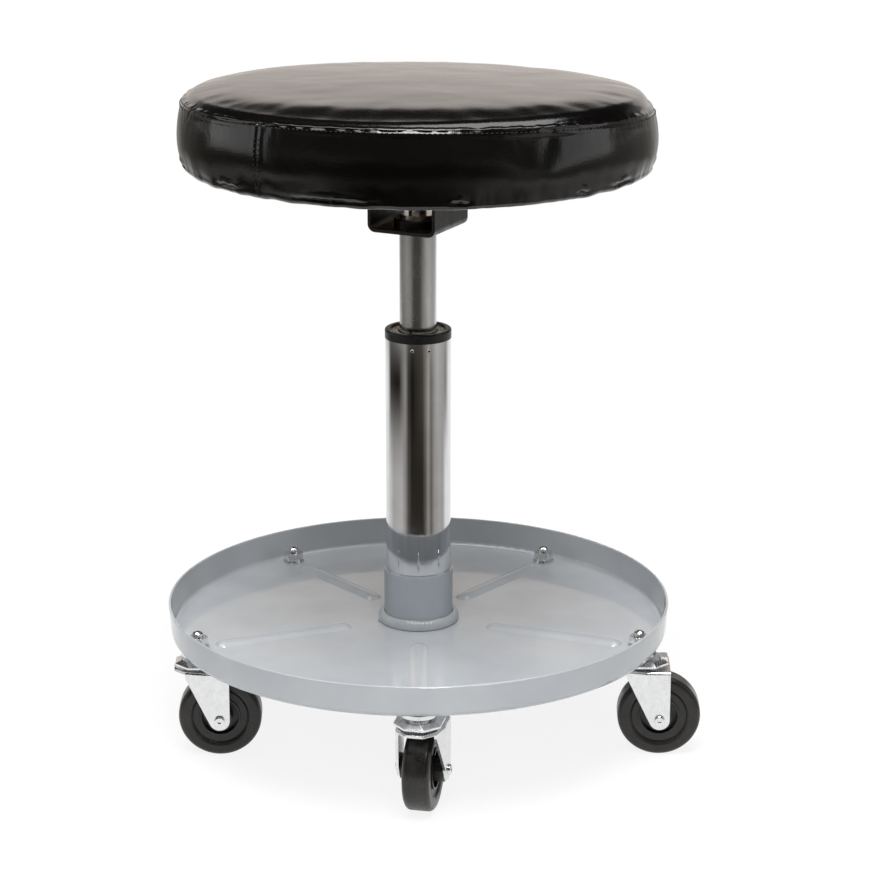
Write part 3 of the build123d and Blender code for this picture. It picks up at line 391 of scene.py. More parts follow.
# stoved light grey enamel on steel: smooth and glossy, with a faint orange peel and a little dust
enamel = {
    "shades": ("#ABAFB4", "#B3B7BB"), "cloud": (60, 3.0, 0.5), "cloudStops": (0.35, 0.62),
    "dust": "#C6C9CC", "specks": (1.1, 2.0, 0.5), "speckStops": (0.70, 0.80), "speckShare": 0.55,
    "rough": 0.08, "roughShares": (0.8, 1.5), "wear": (24, 4.0, 0.6), "wearStops": (0.3, 0.7),
    "grain": (3.2, 1.5, 0.5), "grainHeight": (0.02, 0.6), "ior": 1.58,
}


def makeEnamel(slotName, name, look):
    tree, place = startFinish(slotName, name)
    tone = cloudyTone(tree, place, look)
    speck = addNode(tree, "ShaderNodeTexNoise", noiseValues(look["specks"]), {"Vector": place})
    start, end = look["speckStops"]
    speckMask = addNode(
        tree, "ShaderNodeMapRange", {1: start, 2: end, 3: 0.0, 4: look["speckShare"]},
        {0: speck.outputs["Fac"]},
    )
    dusty = addNode(
        tree, "ShaderNodeMix", {7: linear(look["dust"])}, {0: speckMask.outputs[0], 6: tone},
        data_type="RGBA",
    ).outputs[2]
    sheen = wornSheen(tree, place, look)
    closeFinish(tree, dusty, sheen, grainSkin(tree, place, look), IOR=look["ior"])


makeEnamel("tray_paint", "stovedGreyEnamel", enamel)
# the same coat on the drawn socket and on the weld: duller, and a little darker, where the darker shades
# are painted shade for the shadow of the seat above them
makeEnamel(
    "socket_paint", "stovedGreyEnamelSocketPaintedShade", dict(enamel, shades=("#92999F", "#9CA3A8"), rough=0.12),
)
makeEnamel(
    "weld_paint", "enamelOverWeldPaintedShade",
    dict(enamel, shades=("#9A9FA3", "#A6AAAD"), rough=0.12, grain=(5, 1.5, 0.5)),
)

# polished hard chrome on the drawn tube: a near mirror, with light wipe marks and faint draw marks
chrome = {
    "shades": ("#D2D3D5", "#DCDDDE"), "cloud": (18, 4.0, 0.6), "cloudStops": (0.3, 0.7),
    "rough": 0.045, "roughShares": (0.7, 1.6), "wear": (18, 4.0, 0.6), "wearStops": (0.3, 0.75),
    # the real marks are about a tenth of a millimetre wide, drawn coarser so that they show
    "grain": (0.9, 3.0, 0.6), "grainHeight": (0.045, 0.5), "markStretch": (1.0, 1.0, 0.01),
}


def makeChrome(slotName, name, look):
    tree, place = startFinish(slotName, name)
    tone, sheen = cloudyTone(tree, place, look), wornSheen(tree, place, look)
    marks = addNode(tree, "ShaderNodeMapping", {"Scale": look["markStretch"]}, {"Vector": place})
    closeFinish(tree, tone, sheen, grainSkin(tree, marks.outputs[0], look), Metallic=1.0)


makeChrome("polished_chrome", "polishedHardChrome", chrome)
# the cylinder is ground: satin, with its marks running round it
makeChrome("satin_chrome", "groundSatinChrome", dict(chrome, rough=0.2, markStretch=(0.03, 0.03, 1.0)))

# bright zinc plating on pressed steel: silvery, slightly cloudy, duller in the scratches
zinc = {
    "shades": ("#E0E1E2", "#EAEAEA"), "cloud": (6, 4.0, 0.6), "cloudStops": (0.32, 0.68),
    "edge": "#F4F5F6", "edgeMm": 0.35, "edgeTurn": (0.98, 0.80), "edgeShare": 0.7,
    "rough": 0.24, "roughShares": (0.8, 1.3), "wear": (2.4, 5.0, 0.75), "wearStops": (0.3, 0.7),
    "grain": (2.4, 5.0, 0.75), "grainHeight": (0.016, 0.35), "scratchStretch": (1.0, 0.12, 0.4),
}


def makeZinc(slotName, name, look):
    tree, place = startFinish(slotName, name)
    tone, softNormal = edgeWear(tree, cloudyTone(tree, place, look), look)
    scratches = addNode(
        tree, "ShaderNodeMapping", {"Scale": look["scratchStretch"]}, {"Vector": place}
    ).outputs[0]
    sheen = wornSheen(tree, scratches, look)
    closeFinish(tree, tone, sheen, grainSkin(tree, scratches, look, softNormal), Metallic=1.0)


makeZinc("zinc_plate", "brightZincPlate", zinc)
# ground bearing steel: greyer and smoother than the plating
makeZinc(
    "bearing_steel", "groundBearingSteel",
    dict(zinc, shades=("#B5B6B8", "#C9CACB"), rough=0.12, cloud=(3, 4.0, 0.6)),
)
# oiled spring steel: dark grey and dull
makeZinc(
    "plain_steel", "oiledSpringSteel",
    dict(zinc, shades=("#6E6F70", "#8D8E8F"), edge="#A9A9A9", rough=0.35, cloud=(4, 4.0, 0.6)),
)

# moulded plastics and powder coat: a fine grain, and the sheen that shows how each was made
moulded = {
    "cloud": (14, 3.0, 0.5), "cloudStops": (0.3, 0.7),
    "edgeMm": 0.3, "edgeTurn": (0.98, 0.82), "edgeShare": 0.35,
    "roughShares": (0.8, 1.6), "wear": (9, 5.0, 0.65), "wearStops": (0.35, 0.72),
    "grain": (0.9, 3.0, 0.6), "ior": 1.49,
}


def makeMoulded(slotName, name, **own):
    look = dict(moulded, **own)
    tree, place = startFinish(slotName, name)
    tone, softNormal = edgeWear(tree, cloudyTone(tree, place, look), look)
    sheen = wornSheen(tree, place, look)
    closeFinish(tree, tone, sheen, grainSkin(tree, place, look, softNormal), IOR=look["ior"])


# wheels: near black and slightly brown, with a soft sheen
makeMoulded(
    "wheel_plastic", "mouldedBlackPolyamide",
    shades=("#151311", "#1F1C1A"), edge="#3A3C3F", rough=0.30, grainHeight=(0.03, 0.5),
)
# top ring, taper sleeve and lever grip: near black, a little duller
makeMoulded(
    "black_plastic", "mouldedBlackPolypropylene",
    shades=("#0F1011", "#191A1C"), edge="#2C2D2F", rough=0.32, grainHeight=(0.04, 0.5),
)
# bracket and lever: black, with the coarser grain of a baked powder
makeMoulded(
    "black_paint", "blackPowderCoat", shades=("#101113", "#1B1C1F"), edge="#34363A", rough=0.34,
    grain=(1.4, 3.0, 0.6), grainHeight=(0.05, 0.5), ior=1.52,
)
# slotted retainer, race rings, and the bushing and cage inside: milky light grey
makeMoulded(
    "grey_plastic", "naturalAcetal", shades=("#B4B6B4", "#C9CAC7"), edge="#D6D7D3", rough=0.42,
    grain=(0.8, 3.0, 0.6), grainHeight=(0.02, 0.5), ior=1.48,
)

# birch plywood board: pale straight grain on the faces and dark glue lines on the edge
birch = {
    "shades": ("#B9986A", "#D9C39C"), "cloud": (9, 5.0, 0.65), "cloudStops": (0.35, 0.65),
    "grain": (9, 5.0, 0.65), "grainHeight": (0.1, 0.4), "grainStretch": (0.06, 1.0, 1.0),
    # glue lines 4.71 mm apart, coarser than plies of 1.5 mm so that they would show
    "glue": "#6E5236", "glueStepMm": 4.71, "glueStops": (0.86, 0.97), "glueShare": 0.8,
    "edgeStops": (0.6, 0.4), "rough": 0.6, "ior": 1.5,
}
tree, place = startFinish("plywood", "birchPlywood")
alongGrain = addNode(
    tree, "ShaderNodeMapping", {"Scale": birch["grainStretch"]}, {"Vector": place}
).outputs[0]
plies = addNode(
    tree, "ShaderNodeTexWave",
    {"Scale": math.pi / 10 / (birch["glueStepMm"] * mm), "Distortion": 0.2}, {"Vector": place},
    wave_type="BANDS", bands_direction="Z",
)
start, end = birch["glueStops"]
glueMask = addNode(
    tree, "ShaderNodeMapRange", {1: start, 2: end, 3: 0.0, 4: birch["glueShare"]},
    {0: plies.outputs["Fac"]},
)
side = addNode(tree, "ShaderNodeNewGeometry")
sideZ = addNode(tree, "ShaderNodeSeparateXYZ", links={0: side.outputs["Normal"]})
flat = addNode(tree, "ShaderNodeMath", links={0: sideZ.outputs["Z"]}, operation="ABSOLUTE")
start, end = birch["edgeStops"]
onEdge = addNode(
    tree, "ShaderNodeMapRange", {1: start, 2: end, 3: 0.0, 4: 1.0}, {0: flat.outputs[0]}
)
glueShare = addNode(
    tree, "ShaderNodeMath", links={0: glueMask.outputs[0], 1: onEdge.outputs[0]}, operation="MULTIPLY"
)
woodTone = addNode(
    tree, "ShaderNodeMix", {7: linear(birch["glue"])},
    {0: glueShare.outputs[0], 6: cloudyTone(tree, alongGrain, birch)}, data_type="RGBA",
)
skin = grainSkin(tree, alongGrain, birch)
closeFinish(tree, woodTone.outputs[2], birch["rough"], skin, IOR=birch["ior"])

# coated cloth that imitates leather: glossy black skin with a fine pebble grain and slow waves
leatherette = {
    "shades": ("#050404", "#080706", "#0D0C0B"), "cloud": (45, 4.0, 0.55),
    "cloudStops": (0.3, 0.55, 0.8),
    "grain": (26, 2.0, 0.5), "grainHeight": (0.15, 0.25),
    # the real pebbles are about 0.8 mm, drawn coarser so that they show
    "pebbleMm": 1.7, "pebbleStops": (0.1, 0.75), "pebbleHeight": (0.05, 0.5),
    "rough": 0.16, "roughShares": (0.9, 1.15), "wear": (30, 5.0, 0.65), "wearStops": (0.3, 0.7),
    "ior": 1.53, "coat": 0.12, "coatRough": 0.12,
}
tree, place = startFinish("cover_leather", "glossyBlackLeatherette")
pebbles = addNode(
    tree, "ShaderNodeTexVoronoi", {"Scale": 1 / (leatherette["pebbleMm"] * mm), "Smoothness": 0.6},
    {"Vector": place}, feature="SMOOTH_F1",
)
start, end = leatherette["pebbleStops"]
pebbleTop = addNode(
    tree, "ShaderNodeMapRange", {1: start, 2: end, 3: 1.0, 4: 0.0}, {0: pebbles.outputs["Distance"]}
)
height, strength = leatherette["pebbleHeight"]
pebbleSkin = addNode(
    tree, "ShaderNodeBump", {"Strength": strength, "Distance": height * mm},
    {"Height": pebbleTop.outputs[0], "Normal": grainSkin(tree, place, leatherette)},
)
closeFinish(
    tree, cloudyTone(tree, place, leatherette), wornSheen(tree, place, leatherette),
    pebbleSkin.outputs[0], IOR=leatherette["ior"],
    **{"Coat Weight": leatherette["coat"], "Coat Roughness": leatherette["coatRough"]},
)
finishes["foam"] = finishes["cover_leather"]  # the pad is one mesh, so the foam has no look of its own

# bonded polyester sewing thread: twisted, near black with a dull shine
threadLook = {
    "shades": ("#0C0B0B", "#1B1918"), "cloud": (0.5, 2.0, 0.5), "cloudStops": (0.35, 0.65),
    "grain": (0.5, 2.0, 0.5), "grainHeight": (0.08, 0.6), "rough": 0.6, "ior": 1.5,
}
thread, tree = newMaterial("bondedPolyesterThread")
place = addNode(tree, "ShaderNodeTexCoord").outputs["Object"]
tone, skin = cloudyTone(tree, place, threadLook), grainSkin(tree, place, threadLook)
closeFinish(tree, tone, threadLook["rough"], skin, IOR=threadLook["ior"])

for node in nodes.values():
    for i, used in enumerate(node.data.materials):
        node.data.materials[i] = finishes[used.name.split(".")[0]]
print("stage 3: finishes ready")

# the seat pad: a sewn cover blown up by its foam, then seams, puckers and gathers. Sizes are in
# millimetres and angles in degrees
pad = {
    "around": 360, "thinBelow": (44.0, 26.0, 12.0),  # at each of these radii the points are halved
    "crown": 162.0, "crownDrop": 4.5, "top": 510.9, "crownRings": 30, "crownSpacing": 0.9,
    "shoulderRings": 10, "shoulderSpacing": 1.2, "shoulderBend": 2.2,
    "seamRadius": 175.0, "seamHeight": 497.0,
    # the upper seam rises at the front and the back and sinks at the right
    "seamWave": (2.4, 3.1),
    "sideRadius": 179.3, "sideHeight": 477.0, "sideRings": 16,
    "footRadius": 176.0, "footHeight": 454.0, "corner": 5.4, "cornerRings": 5,
    "under": 451.9, "underShares": (0.35, 0.7, 1.0), "foldRings": (160.0, 156.0, 152.0, 148.0),
    "foldRadius": 148.0, "boardRadius": 164.3, "boardBottom": 452.9, "boardTop": 465.4,
    "pocketRings": (120.0, 60.0, 40.0, 20.0, 10.0),
    # the blown shape starts this much smaller, over this height of the band and width of the top
    "shrink": 1.2, "shrinkHigh": 16.0, "shrinkWide": 24.0,
    "tilt": 0.25,  # the left side stands a little higher
    "pitch": 1.6,  # and so does the near side
    "twist": 2.2,  # the far left and near right rise a little, and the other two sink
    "bandSeam": 231.0,
}
# how the cover blows up: the pressure of the foam, the stiffness of the coated cloth, the largest
# move of a point, and the easing of the taut middle, which starts inside the seam
swelling = {
    "pressure": 4.0, "steps": 20, "quality": 6, "mass": 0.35, "tension": 25, "shear": 12,
    "bending": 1.2, "limit": 1.8, "easing": 24, "easingShare": 0.6, "tautFrom": 9.0, "tautOver": 14.0,
    "tautBelow": 1.0,
}


def seamHeightAt(bearing):
    twice, once = pad["seamWave"]
    b = math.radians(bearing)
    return pad["seamHeight"] - twice * math.cos(2 * b) - once * math.cos(b)


def padProfile(bearing):
    # half section from the middle of the top to the middle of the hollow for the board
    p = pad
    rings = []
    radius = (p["crown"] ** 2 + p["crownDrop"] ** 2) / (2 * p["crownDrop"])
    for i in range(1, p["crownRings"] + 1):
        r = p["crown"] * (i / p["crownRings"]) ** p["crownSpacing"]
        rings.append((r, p["top"] - radius + math.sqrt(radius ** 2 - r ** 2), "top"))
    slope = math.tan(math.asin(p["crown"] / radius))
    wide = p["seamRadius"] - p["crown"]
    fall = p["top"] - p["crownDrop"] - slope * wide - seamHeightAt(bearing)
    for i in range(1, p["shoulderRings"] + 1):
        share = 1 - (1 - i / p["shoulderRings"]) ** p["shoulderSpacing"]
        z = p["top"] - p["crownDrop"] - slope * wide * share - fall * share ** p["shoulderBend"]
        rings.append((p["crown"] + wide * share, z, "top" if i < p["shoulderRings"] else "seam"))
    # the band is a parabola through the seam, the widest place and the foot
    low, mid, high = p["footHeight"], p["sideHeight"], seamHeightAt(bearing)
    for i in range(1, p["sideRings"] + 1):
        z = high + (low - high) * i / p["sideRings"]
        a = (z - mid) * (z - low) / ((high - mid) * (high - low)) * p["seamRadius"]
        b = (z - high) * (z - low) / ((mid - high) * (mid - low)) * p["sideRadius"]
        c = (z - high) * (z - mid) / ((low - high) * (low - mid)) * p["footRadius"]
        rings.append((a + b + c, z, "side"))
    for i in range(1, p["cornerRings"] + 1):
        a = math.pi / 2 * i / p["cornerRings"]
        rings.append((
            p["footRadius"] - p["corner"] * (1 - math.cos(a)),
            p["footHeight"] - p["corner"] * math.sin(a), "hem",
        ))
    for share in p["underShares"]:
        r = (p["footRadius"] - p["corner"]) * (1 - share) + p["boardRadius"] * share
        z = (p["footHeight"] - p["corner"]) * (1 - share) + p["under"] * share
        rings.append((r, z, "hem"))
    for r in p["foldRings"]:
        rings.append((r, p["under"], "inside"))
    rings.append((p["foldRadius"], p["boardBottom"], "inside"))
    rings.append((p["boardRadius"], p["boardBottom"], "inside"))
    rings.append((p["boardRadius"], p["boardTop"], "inside"))
    for r in p["pocketRings"]:
        rings.append((r, p["boardTop"], "inside"))
    return rings


def ringCount(r):
    # fewer points in the small rings near the middle, always half of the next size up
    return pad["around"] // 2 ** sum(r <= limit for limit in pad["thinBelow"])


def buildPad():
    sections = [padProfile(360 * i / pad["around"]) for i in range(pad["around"])]
    rings = [(r, z, part, ringCount(r)) for r, z, part in sections[0]]
    points, starts = [(0, 0, pad["top"] * mm)], []
    for k, (_, _, _, count) in enumerate(rings):
        starts.append(len(points))
        for i in range(count):
            a = 2 * math.pi * i / count
            r, z, _ = sections[i * pad["around"] // count][k]
            points.append((r * math.cos(a) * mm, r * math.sin(a) * mm, z * mm))
    last = len(points)
    points.append((0, 0, pad["boardTop"] * mm))
    faces = [(0, 1 + i, 1 + (i + 1) % rings[0][3]) for i in range(rings[0][3])]
    for j in range(len(rings) - 1):
        a, b, m, n = starts[j], starts[j + 1], rings[j][3], rings[j + 1][3]
        for i in range(min(m, n)):
            k = (i + 1) % min(m, n)
            if m == n:
                faces.append((a + i, b + i, b + k, a + k))
            elif m < n:
                faces.append((a + i, b + 2 * i, b + 2 * i + 1))
                faces.append((a + i, b + 2 * i + 1, b + 2 * k, a + k))
            else:
                faces.append((a + 2 * i, b + i, a + 2 * i + 1))
                faces.append((a + 2 * i + 1, b + i, b + k, a + 2 * k))
    a, m = starts[-1], rings[-1][3]
    faces += [(a + i, last, a + (i + 1) % m) for i in range(m)]
    piece = meshPiece("seatPad", points, faces)
    held = piece.vertex_groups.new(name="held")
    held.add([last], 1.0, "REPLACE")
    for start, (r, z, part, count) in zip(starts, rings):
        indices = list(range(start, start + count))
        if part in ("seam", "hem", "inside"):
            held.add(indices, 1.0, "REPLACE")
        inward, drop = 0, 0
        if part == "side":
            inward = pad["shrink"] * bump(z, pad["sideHeight"], pad["shrinkHigh"])
        if part == "top":
            drop = pad["shrink"] * min(1.0, (pad["seamRadius"] - r) / pad["shrinkWide"])
        for i in indices:
            v = piece.data.vertices[i]
            v.co -= Vector((v.co.x, v.co.y, 0)).normalized() * inward * mm
            v.co.z -= drop * mm
    piece.data.vertices[0].co.z -= pad["shrink"] * mm
    return piece


def blowUp(piece):
    # the cover swells under pressure like stuffed cloth, and no point moves further than the limit
    s = swelling
    before = [v.co.copy() for v in piece.data.vertices]
    swell = piece.modifiers.new("swell", "CLOTH")
    fabric = swell.settings
    fabric.quality = s["quality"]
    fabric.mass = s["mass"]
    fabric.tension_stiffness = s["tension"]
    fabric.compression_stiffness = s["tension"]
    fabric.shear_stiffness = s["shear"]
    fabric.bending_stiffness = s["bending"]
    fabric.use_pressure = True
    fabric.uniform_pressure_force = s["pressure"]
    fabric.effector_weights.gravity = 0
    fabric.vertex_group_mass = "held"
    swell.collision_settings.use_self_collision = False
    scene = bpy.context.scene
    scene.frame_start, scene.frame_end = 1, s["steps"]
    for step in range(1, s["steps"] + 1):
        scene.frame_set(step)
    graph = bpy.context.evaluated_depsgraph_get()
    after = [v.co.copy() for v in piece.evaluated_get(graph).data.vertices]
    piece.modifiers.remove(swell)
    scene.frame_set(1)
    limit = s["limit"] * mm
    for v, a, b in zip(piece.data.vertices, before, after):
        move = b - a
        if move.length > limit:
            move *= limit / move.length
        v.co = a + move
    # foam under the top keeps the cover taut there, so the creases only stay close to the seam
    taut = piece.vertex_groups.new(name="taut")
    for v in piece.data.vertices:
        x, y, z = v.co / mm
        share = min(1.0, (pad["seamRadius"] - s["tautFrom"] - math.hypot(x, y)) / s["tautOver"])
        if z > pad["seamHeight"] - s["tautBelow"] and share > 0:
            taut.add([v.index], share, "REPLACE")
    ease = piece.modifiers.new("ease", "SMOOTH")
    ease.factor = s["easingShare"]
    ease.iterations = s["easing"]
    ease.vertex_group = "taut"
    bpy.context.view_layer.objects.active = piece
    bpy.ops.object.modifier_apply(modifier=ease.name)
    largest = max((b - a).length for a, b in zip(before, after)) / mm
    print("  pad blown up, largest move before the limit", round(largest, 2), "mm")


seatPad = buildPad()
blowUp(seatPad)
finer = seatPad.modifiers.new("finer", "SUBSURF")
finer.levels = finer.render_levels = 1
bpy.context.view_layer.objects.active = seatPad
bpy.ops.object.modifier_apply(modifier=finer.name)
print("stage 4: seat pad blown,", len(seatPad.data.vertices), "points")

# places read off the photograph, as bearings from +X in degrees and sizes in millimetres
folds = {
    # pinches that run down the band from the upper seam: bearing, lean, length, depth, half width
    "puckers": [
        (-67, 5, 22, 0.3, 4.2), (-58, -9, 24, 0.35, 4.8), (-51, -7, 15, 0.2, 3.6),
        (-36, 4, 12, 0.3, 2.0), (-158, -10, 9, 0.6, 1.8), (-150, 8, 11, 0.2, 1.8),
        (-166, 6, 12, 0.2, 1.8), (-4, -6, 9, 0.8, 1.7), (40, 5, 16, 1.0, 1.6), (71, -6, 13, 0.9, 1.6),
        (118, 7, 18, 1.1, 1.7), (152, -5, 12, 0.8, 1.5), (172, 4, 14, 0.9, 1.6),
    ],
    # each pinch has a rounded shoulder on either side: place and width in half widths, two heights
    "puckerShoulder": (2.1, 1.1), "puckerShoulderShares": (0.45, 0.30), "puckerFade": (1.5, 1.2),
    "puckerReach": 30.0,
    # wide hollows where the band is drawn in under the seam: bearing, half width, depth, reach
    "hollows": [
        (-61, 8, 1.7, 22), (-22, 10, 0.6, 18), (-162, 8, 0.5, 16), (25, 12, 1.2, 20),
        (95, 14, 1.2, 18), (140, 10, 1.0, 18),
    ],
    "hollowDown": 11.0, "hollowWidthShare": 0.6, "hollowFrom": 4.0, "hollowReach": 3.0,
    # dark slits where the cover folds over itself at the hem: bearing, half length in degrees
    "slits": [
        (-139.7, 3.2), (-111, 8.0), (-80.6, 1.6), (-49, 1.8), (-34, 3.4), (-8, 3.0), (14, 4.0),
        (38, 2.6), (60, 5.0), (88, 3.0), (113, 4.4), (141, 2.8), (167, 4.0), (-168, 3.0),
    ],
    # how far below the foot a slit lies and wanders, its depth and width, and the lip above it
    "slitBelow": 0.5, "slitWander": 1.2, "slitDepth": 2.0, "slitWidth": 1.2,
    "lipRise": 0.9, "lipUp": 3.2, "lipWidth": 2.0, "slitReach": 2.2,
    # gathers where the cover turns under: size along, size up, seed and height, and the height of
    # the zone that has them
    "gathers": [(7.5, 30.0, 20.0, 0.6), (17.0, 40.0, 33.0, 1.0)], "gatherZone": 16.0,
    "gatherPower": 1.5,
    # the hem sags unevenly: size along, height, place inside the seam, width
    "sag": (17.0, 0.9, 4.0, 7.0),
    # slow unevenness of the foam: size, height and start, smaller on the top, none at the seam
    "foam": [(42.0, 0.45, (0, 0, 0)), (19.0, 0.16, (7, 3, 1))], "foamOnTop": 0.8, "foamFrom": 10.0,
    # the upper seam: a groove between two rounded welts, a little uneven
    "grooveDepth": 1.15, "grooveWidth": 1.0, "weltRise": 0.45, "weltAway": 2.6, "weltWidth": 1.6,
    "unevenMm": 22.0, "unevenShare": 0.35,
    # the pull of the stitches beside it
    "stitchMm": 3.6, "pull": 0.13, "pullAway": 2.4, "pullWidth": 3.0, "pullMm": 31.0,
    # short soft creases that fan out from it: size along, size away, seed and height, then height
    # and width on the top and on the band
    "fan": [(5.5, 26.0, 1.0, 0.42), (11.0, 30.0, 9.0, 0.55)], "fanAway": 4.0,
    "fanOnTop": (0.12, 7.0), "fanOnBand": (0.25, 13.0),
    # upright seam of the band, with a small gap between its two edges
    "gapDepth": 1.0, "gapWidth": 0.75, "edgeRise": 0.45, "edgeAway": 2.4, "edgeWidth": 1.8,
    "tug": (0.8, 0.3, 6.0), "bandReach": 14.0, "bandBelow": 3.0,
    # where the top, the hem and the inside of the cover end
    "topPast": 3.0, "hemUp": 5.0, "insidePast": 1.0,
    # places in the noise that each unevenness is taken from
    "seamSeed": (5.1, 0.0), "pullSeed": (2.2, 4.0), "sagSeed": (3.0, 50.0),
}
# which way the cover faces where it is moved: slopes of the top, the rim and the band
facing = {
    "crownRadius": 620.0, "rimFrom": 165.0, "rimSlope": 0.75,
    "bandMiddle": 476.0, "bandHalf": 22.0, "bandSlope": 0.12,
}
# the lean fades out towards the board: the tilt low down and inside the rim, and the pitch and the
# twist over the height of the pad
leaning = {"above": 470.0, "rimFrom": 165.0, "rimOver": 8.0, "liftFrom": 456.0, "liftOver": 42.0}


def leanAt(x, y, rim, lift):
    # how far a point of the tilted and twisted pad stands above its level place
    rise = -x * math.tan(math.radians(pad["tilt"])) * rim
    rise -= y * math.tan(math.radians(pad["pitch"])) * lift
    return rise - pad["twist"] * x * y / pad["seamRadius"] ** 2 * lift


def faceAt(out, r, z, onTop):
    up = Vector((0, 0, 1))
    if not onTop:
        slope = facing["bandSlope"] * (z - facing["bandMiddle"]) / facing["bandHalf"]
        return (out + up * slope).normalized()
    slope = r / facing["crownRadius"] if r < facing["rimFrom"] else facing["rimSlope"]
    return (out * slope + up).normalized()


def foamMove(place, far, onTop):
    slow = 0
    for size, height, start in folds["foam"]:
        slow += noise.noise(place / size + Vector(start)) * height
    return slow * (folds["foamOnTop"] if onTop else 1.0) * min(1.0, far / folds["foamFrom"])


def seamMove(along, far, onTop):
    f = folds
    uneven = 1 + f["unevenShare"] * noise.noise(Vector((along / f["unevenMm"], *f["seamSeed"])))
    move = -f["grooveDepth"] * uneven * bump(far, 0, f["grooveWidth"])
    move += f["weltRise"] * uneven * bump(far, f["weltAway"], f["weltWidth"])
    stitch = math.cos(math.pi * along / f["stitchMm"])
    strength = 0.5 + 0.5 * noise.noise(Vector((along / f["pullMm"], *f["pullSeed"])))
    move += f["pull"] * stitch * strength * bump(far, f["pullAway"], f["pullWidth"])
    crease = 0
    for length, depth, seed, height in f["fan"]:
        crease += noise.noise(Vector((along / length, far / depth, seed))) * height
    height, width = f["fanOnTop"] if onTop else f["fanOnBand"]
    return move + crease * height * bump(far, f["fanAway"], width)


def pinchMove(bearing, down):
    f = folds
    move = 0
    away, wider = f["puckerShoulder"]
    left, right = f["puckerShoulderShares"]
    longer, power = f["puckerFade"]
    for at, lean, reach, deep, wide in f["puckers"]:
        off = angleFrom(bearing, at) * math.pi / 180 * pad["seamRadius"]
        if abs(off) > f["puckerReach"]:
            continue
        line = off - lean * down / reach
        fade = max(0.0, 1 - down / (reach * longer)) ** power
        move -= deep * fade * bump(line, 0, wide)
        move += deep * left * fade * bump(line, wide * away, wide * wider)
        move += deep * right * fade * bump(line, -wide * away, wide * wider)
    for at, wide, deep, reach in f["hollows"]:
        off = angleFrom(bearing, at)
        if abs(off) < f["hollowReach"] * wide:
            low = bump(down, f["hollowDown"], reach * f["hollowWidthShare"])
            move -= deep * bump(off, 0, wide) * low * min(1, down / f["hollowFrom"])
    return move


def bandSeamMove(bearing, z):
    f = folds
    off = angleFrom(bearing, pad["bandSeam"]) * math.pi / 180 * pad["seamRadius"]
    if abs(off) >= f["bandReach"] or z <= pad["footHeight"] - f["bandBelow"]:
        return 0
    middle, spread, size = f["tug"]
    tug = middle + spread * noise.noise(Vector((0, 0, z / size)))
    edges = bump(off, f["edgeAway"], f["edgeWidth"]) + bump(off, -f["edgeAway"], f["edgeWidth"])
    return tug * (f["edgeRise"] * edges - f["gapDepth"] * bump(off, 0, f["gapWidth"]))


def hemMove(bearing, along, z):
    f = folds
    zoneTop = pad["footHeight"] + f["gatherZone"]
    if z >= zoneTop:
        return 0
    low = min(1.0, (zoneTop - z) / f["gatherZone"])
    gathers = 0
    for length, height, seed, deep in f["gathers"]:
        gathers += noise.noise(Vector((along / length, z / height, seed))) * deep
    move = gathers * low ** f["gatherPower"]
    for at, wide in f["slits"]:
        off = angleFrom(bearing, at)
        if abs(off) < f["slitReach"] * wide:
            level = pad["footHeight"] - f["slitBelow"]
            level += f["slitWander"] * noise.noise(Vector((off, at, 0)))
            shut = bump(off, 0, wide)
            move -= f["slitDepth"] * shut * bump(z, level, f["slitWidth"])
            move += f["lipRise"] * shut * bump(z, level + f["lipUp"], f["lipWidth"])
    return move


def sculptPad(piece):
    seamR = pad["seamRadius"]
    sagMm, sagHeight, sagInside, sagWidth = folds["sag"]
    inside = folds["insidePast"]
    for v in piece.data.vertices:
        x, y, z = v.co / mm
        r = math.hypot(x, y)
        if r < pad["boardRadius"] + inside and z < pad["boardTop"] + inside:
            continue  # inside the cover or against the board
        bearing = math.degrees(math.atan2(y, x))
        seamZ = seamHeightAt(bearing)
        along = math.radians(bearing) * seamR
        onTop = z > seamZ and r < seamR + folds["topPast"]
        onHem = z < pad["footHeight"] + folds["hemUp"]
        far = math.hypot(r - seamR, z - seamZ)  # distance from the upper seam
        out = Vector((x, y, 0)).normalized()
        move = foamMove(Vector((x, y, z)), far, onTop)
        move += seamMove(along, far, onTop)
        if not onTop:
            if not onHem:
                move += pinchMove(bearing, seamZ - z)
            move += bandSeamMove(bearing, z)
            move += hemMove(bearing, along, z)
        shift = faceAt(out, r, z, onTop) * move
        if onHem:
            sag = noise.noise(Vector((along / sagMm, *folds["sagSeed"]))) * sagHeight
            shift.z += sag * bump(r, seamR - sagInside, sagWidth)
        rim = 1.0
        if z <= leaning["above"]:
            rim = max(0.0, min(1.0, (r - leaning["rimFrom"]) / leaning["rimOver"]))
        lift = max(0.0, min(1.0, (z - leaning["liftFrom"]) / leaning["liftOver"]))
        shift.z += leanAt(x, y, rim, lift)
        v.co += shift * mm
    piece.data.update()


sculptPad(seatPad)
seatPad.data.materials.append(finishes["cover_leather"])
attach(seatPad, "seat")
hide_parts("seat_cover", "foam_pad")
print("stage 5: seat pad sculpted")

# stitches, laid on the finished cover, in millimetres
stitching = {
    "length": 2.3, "thick": 0.42, "gap": 3.6, "offset": 1.7, "bandStart": 456.0, "bandEnd": 495.0,
    "below": 1.9,  # the top row lies this far below the seam
    "rayFrom": 0.25,  # metres from the middle, outside the pad
    "rings": 7, "sides": 6, "rise": 0.75, "sunk": 0.55, "endTaper": 0.93, "endRound": 0.05,
    "plies": 9.0, "plyRise": 0.12, "twist": 2.2,
}


def surfacePoint(piece, out, z):
    # where a level ray from outside meets the piece at this height
    origin = out * stitching["rayFrom"] + Vector((0, 0, z * mm))
    hit, place, normal, _ = piece.ray_cast(origin, -out)
    return (place, normal) if hit else (None, None)


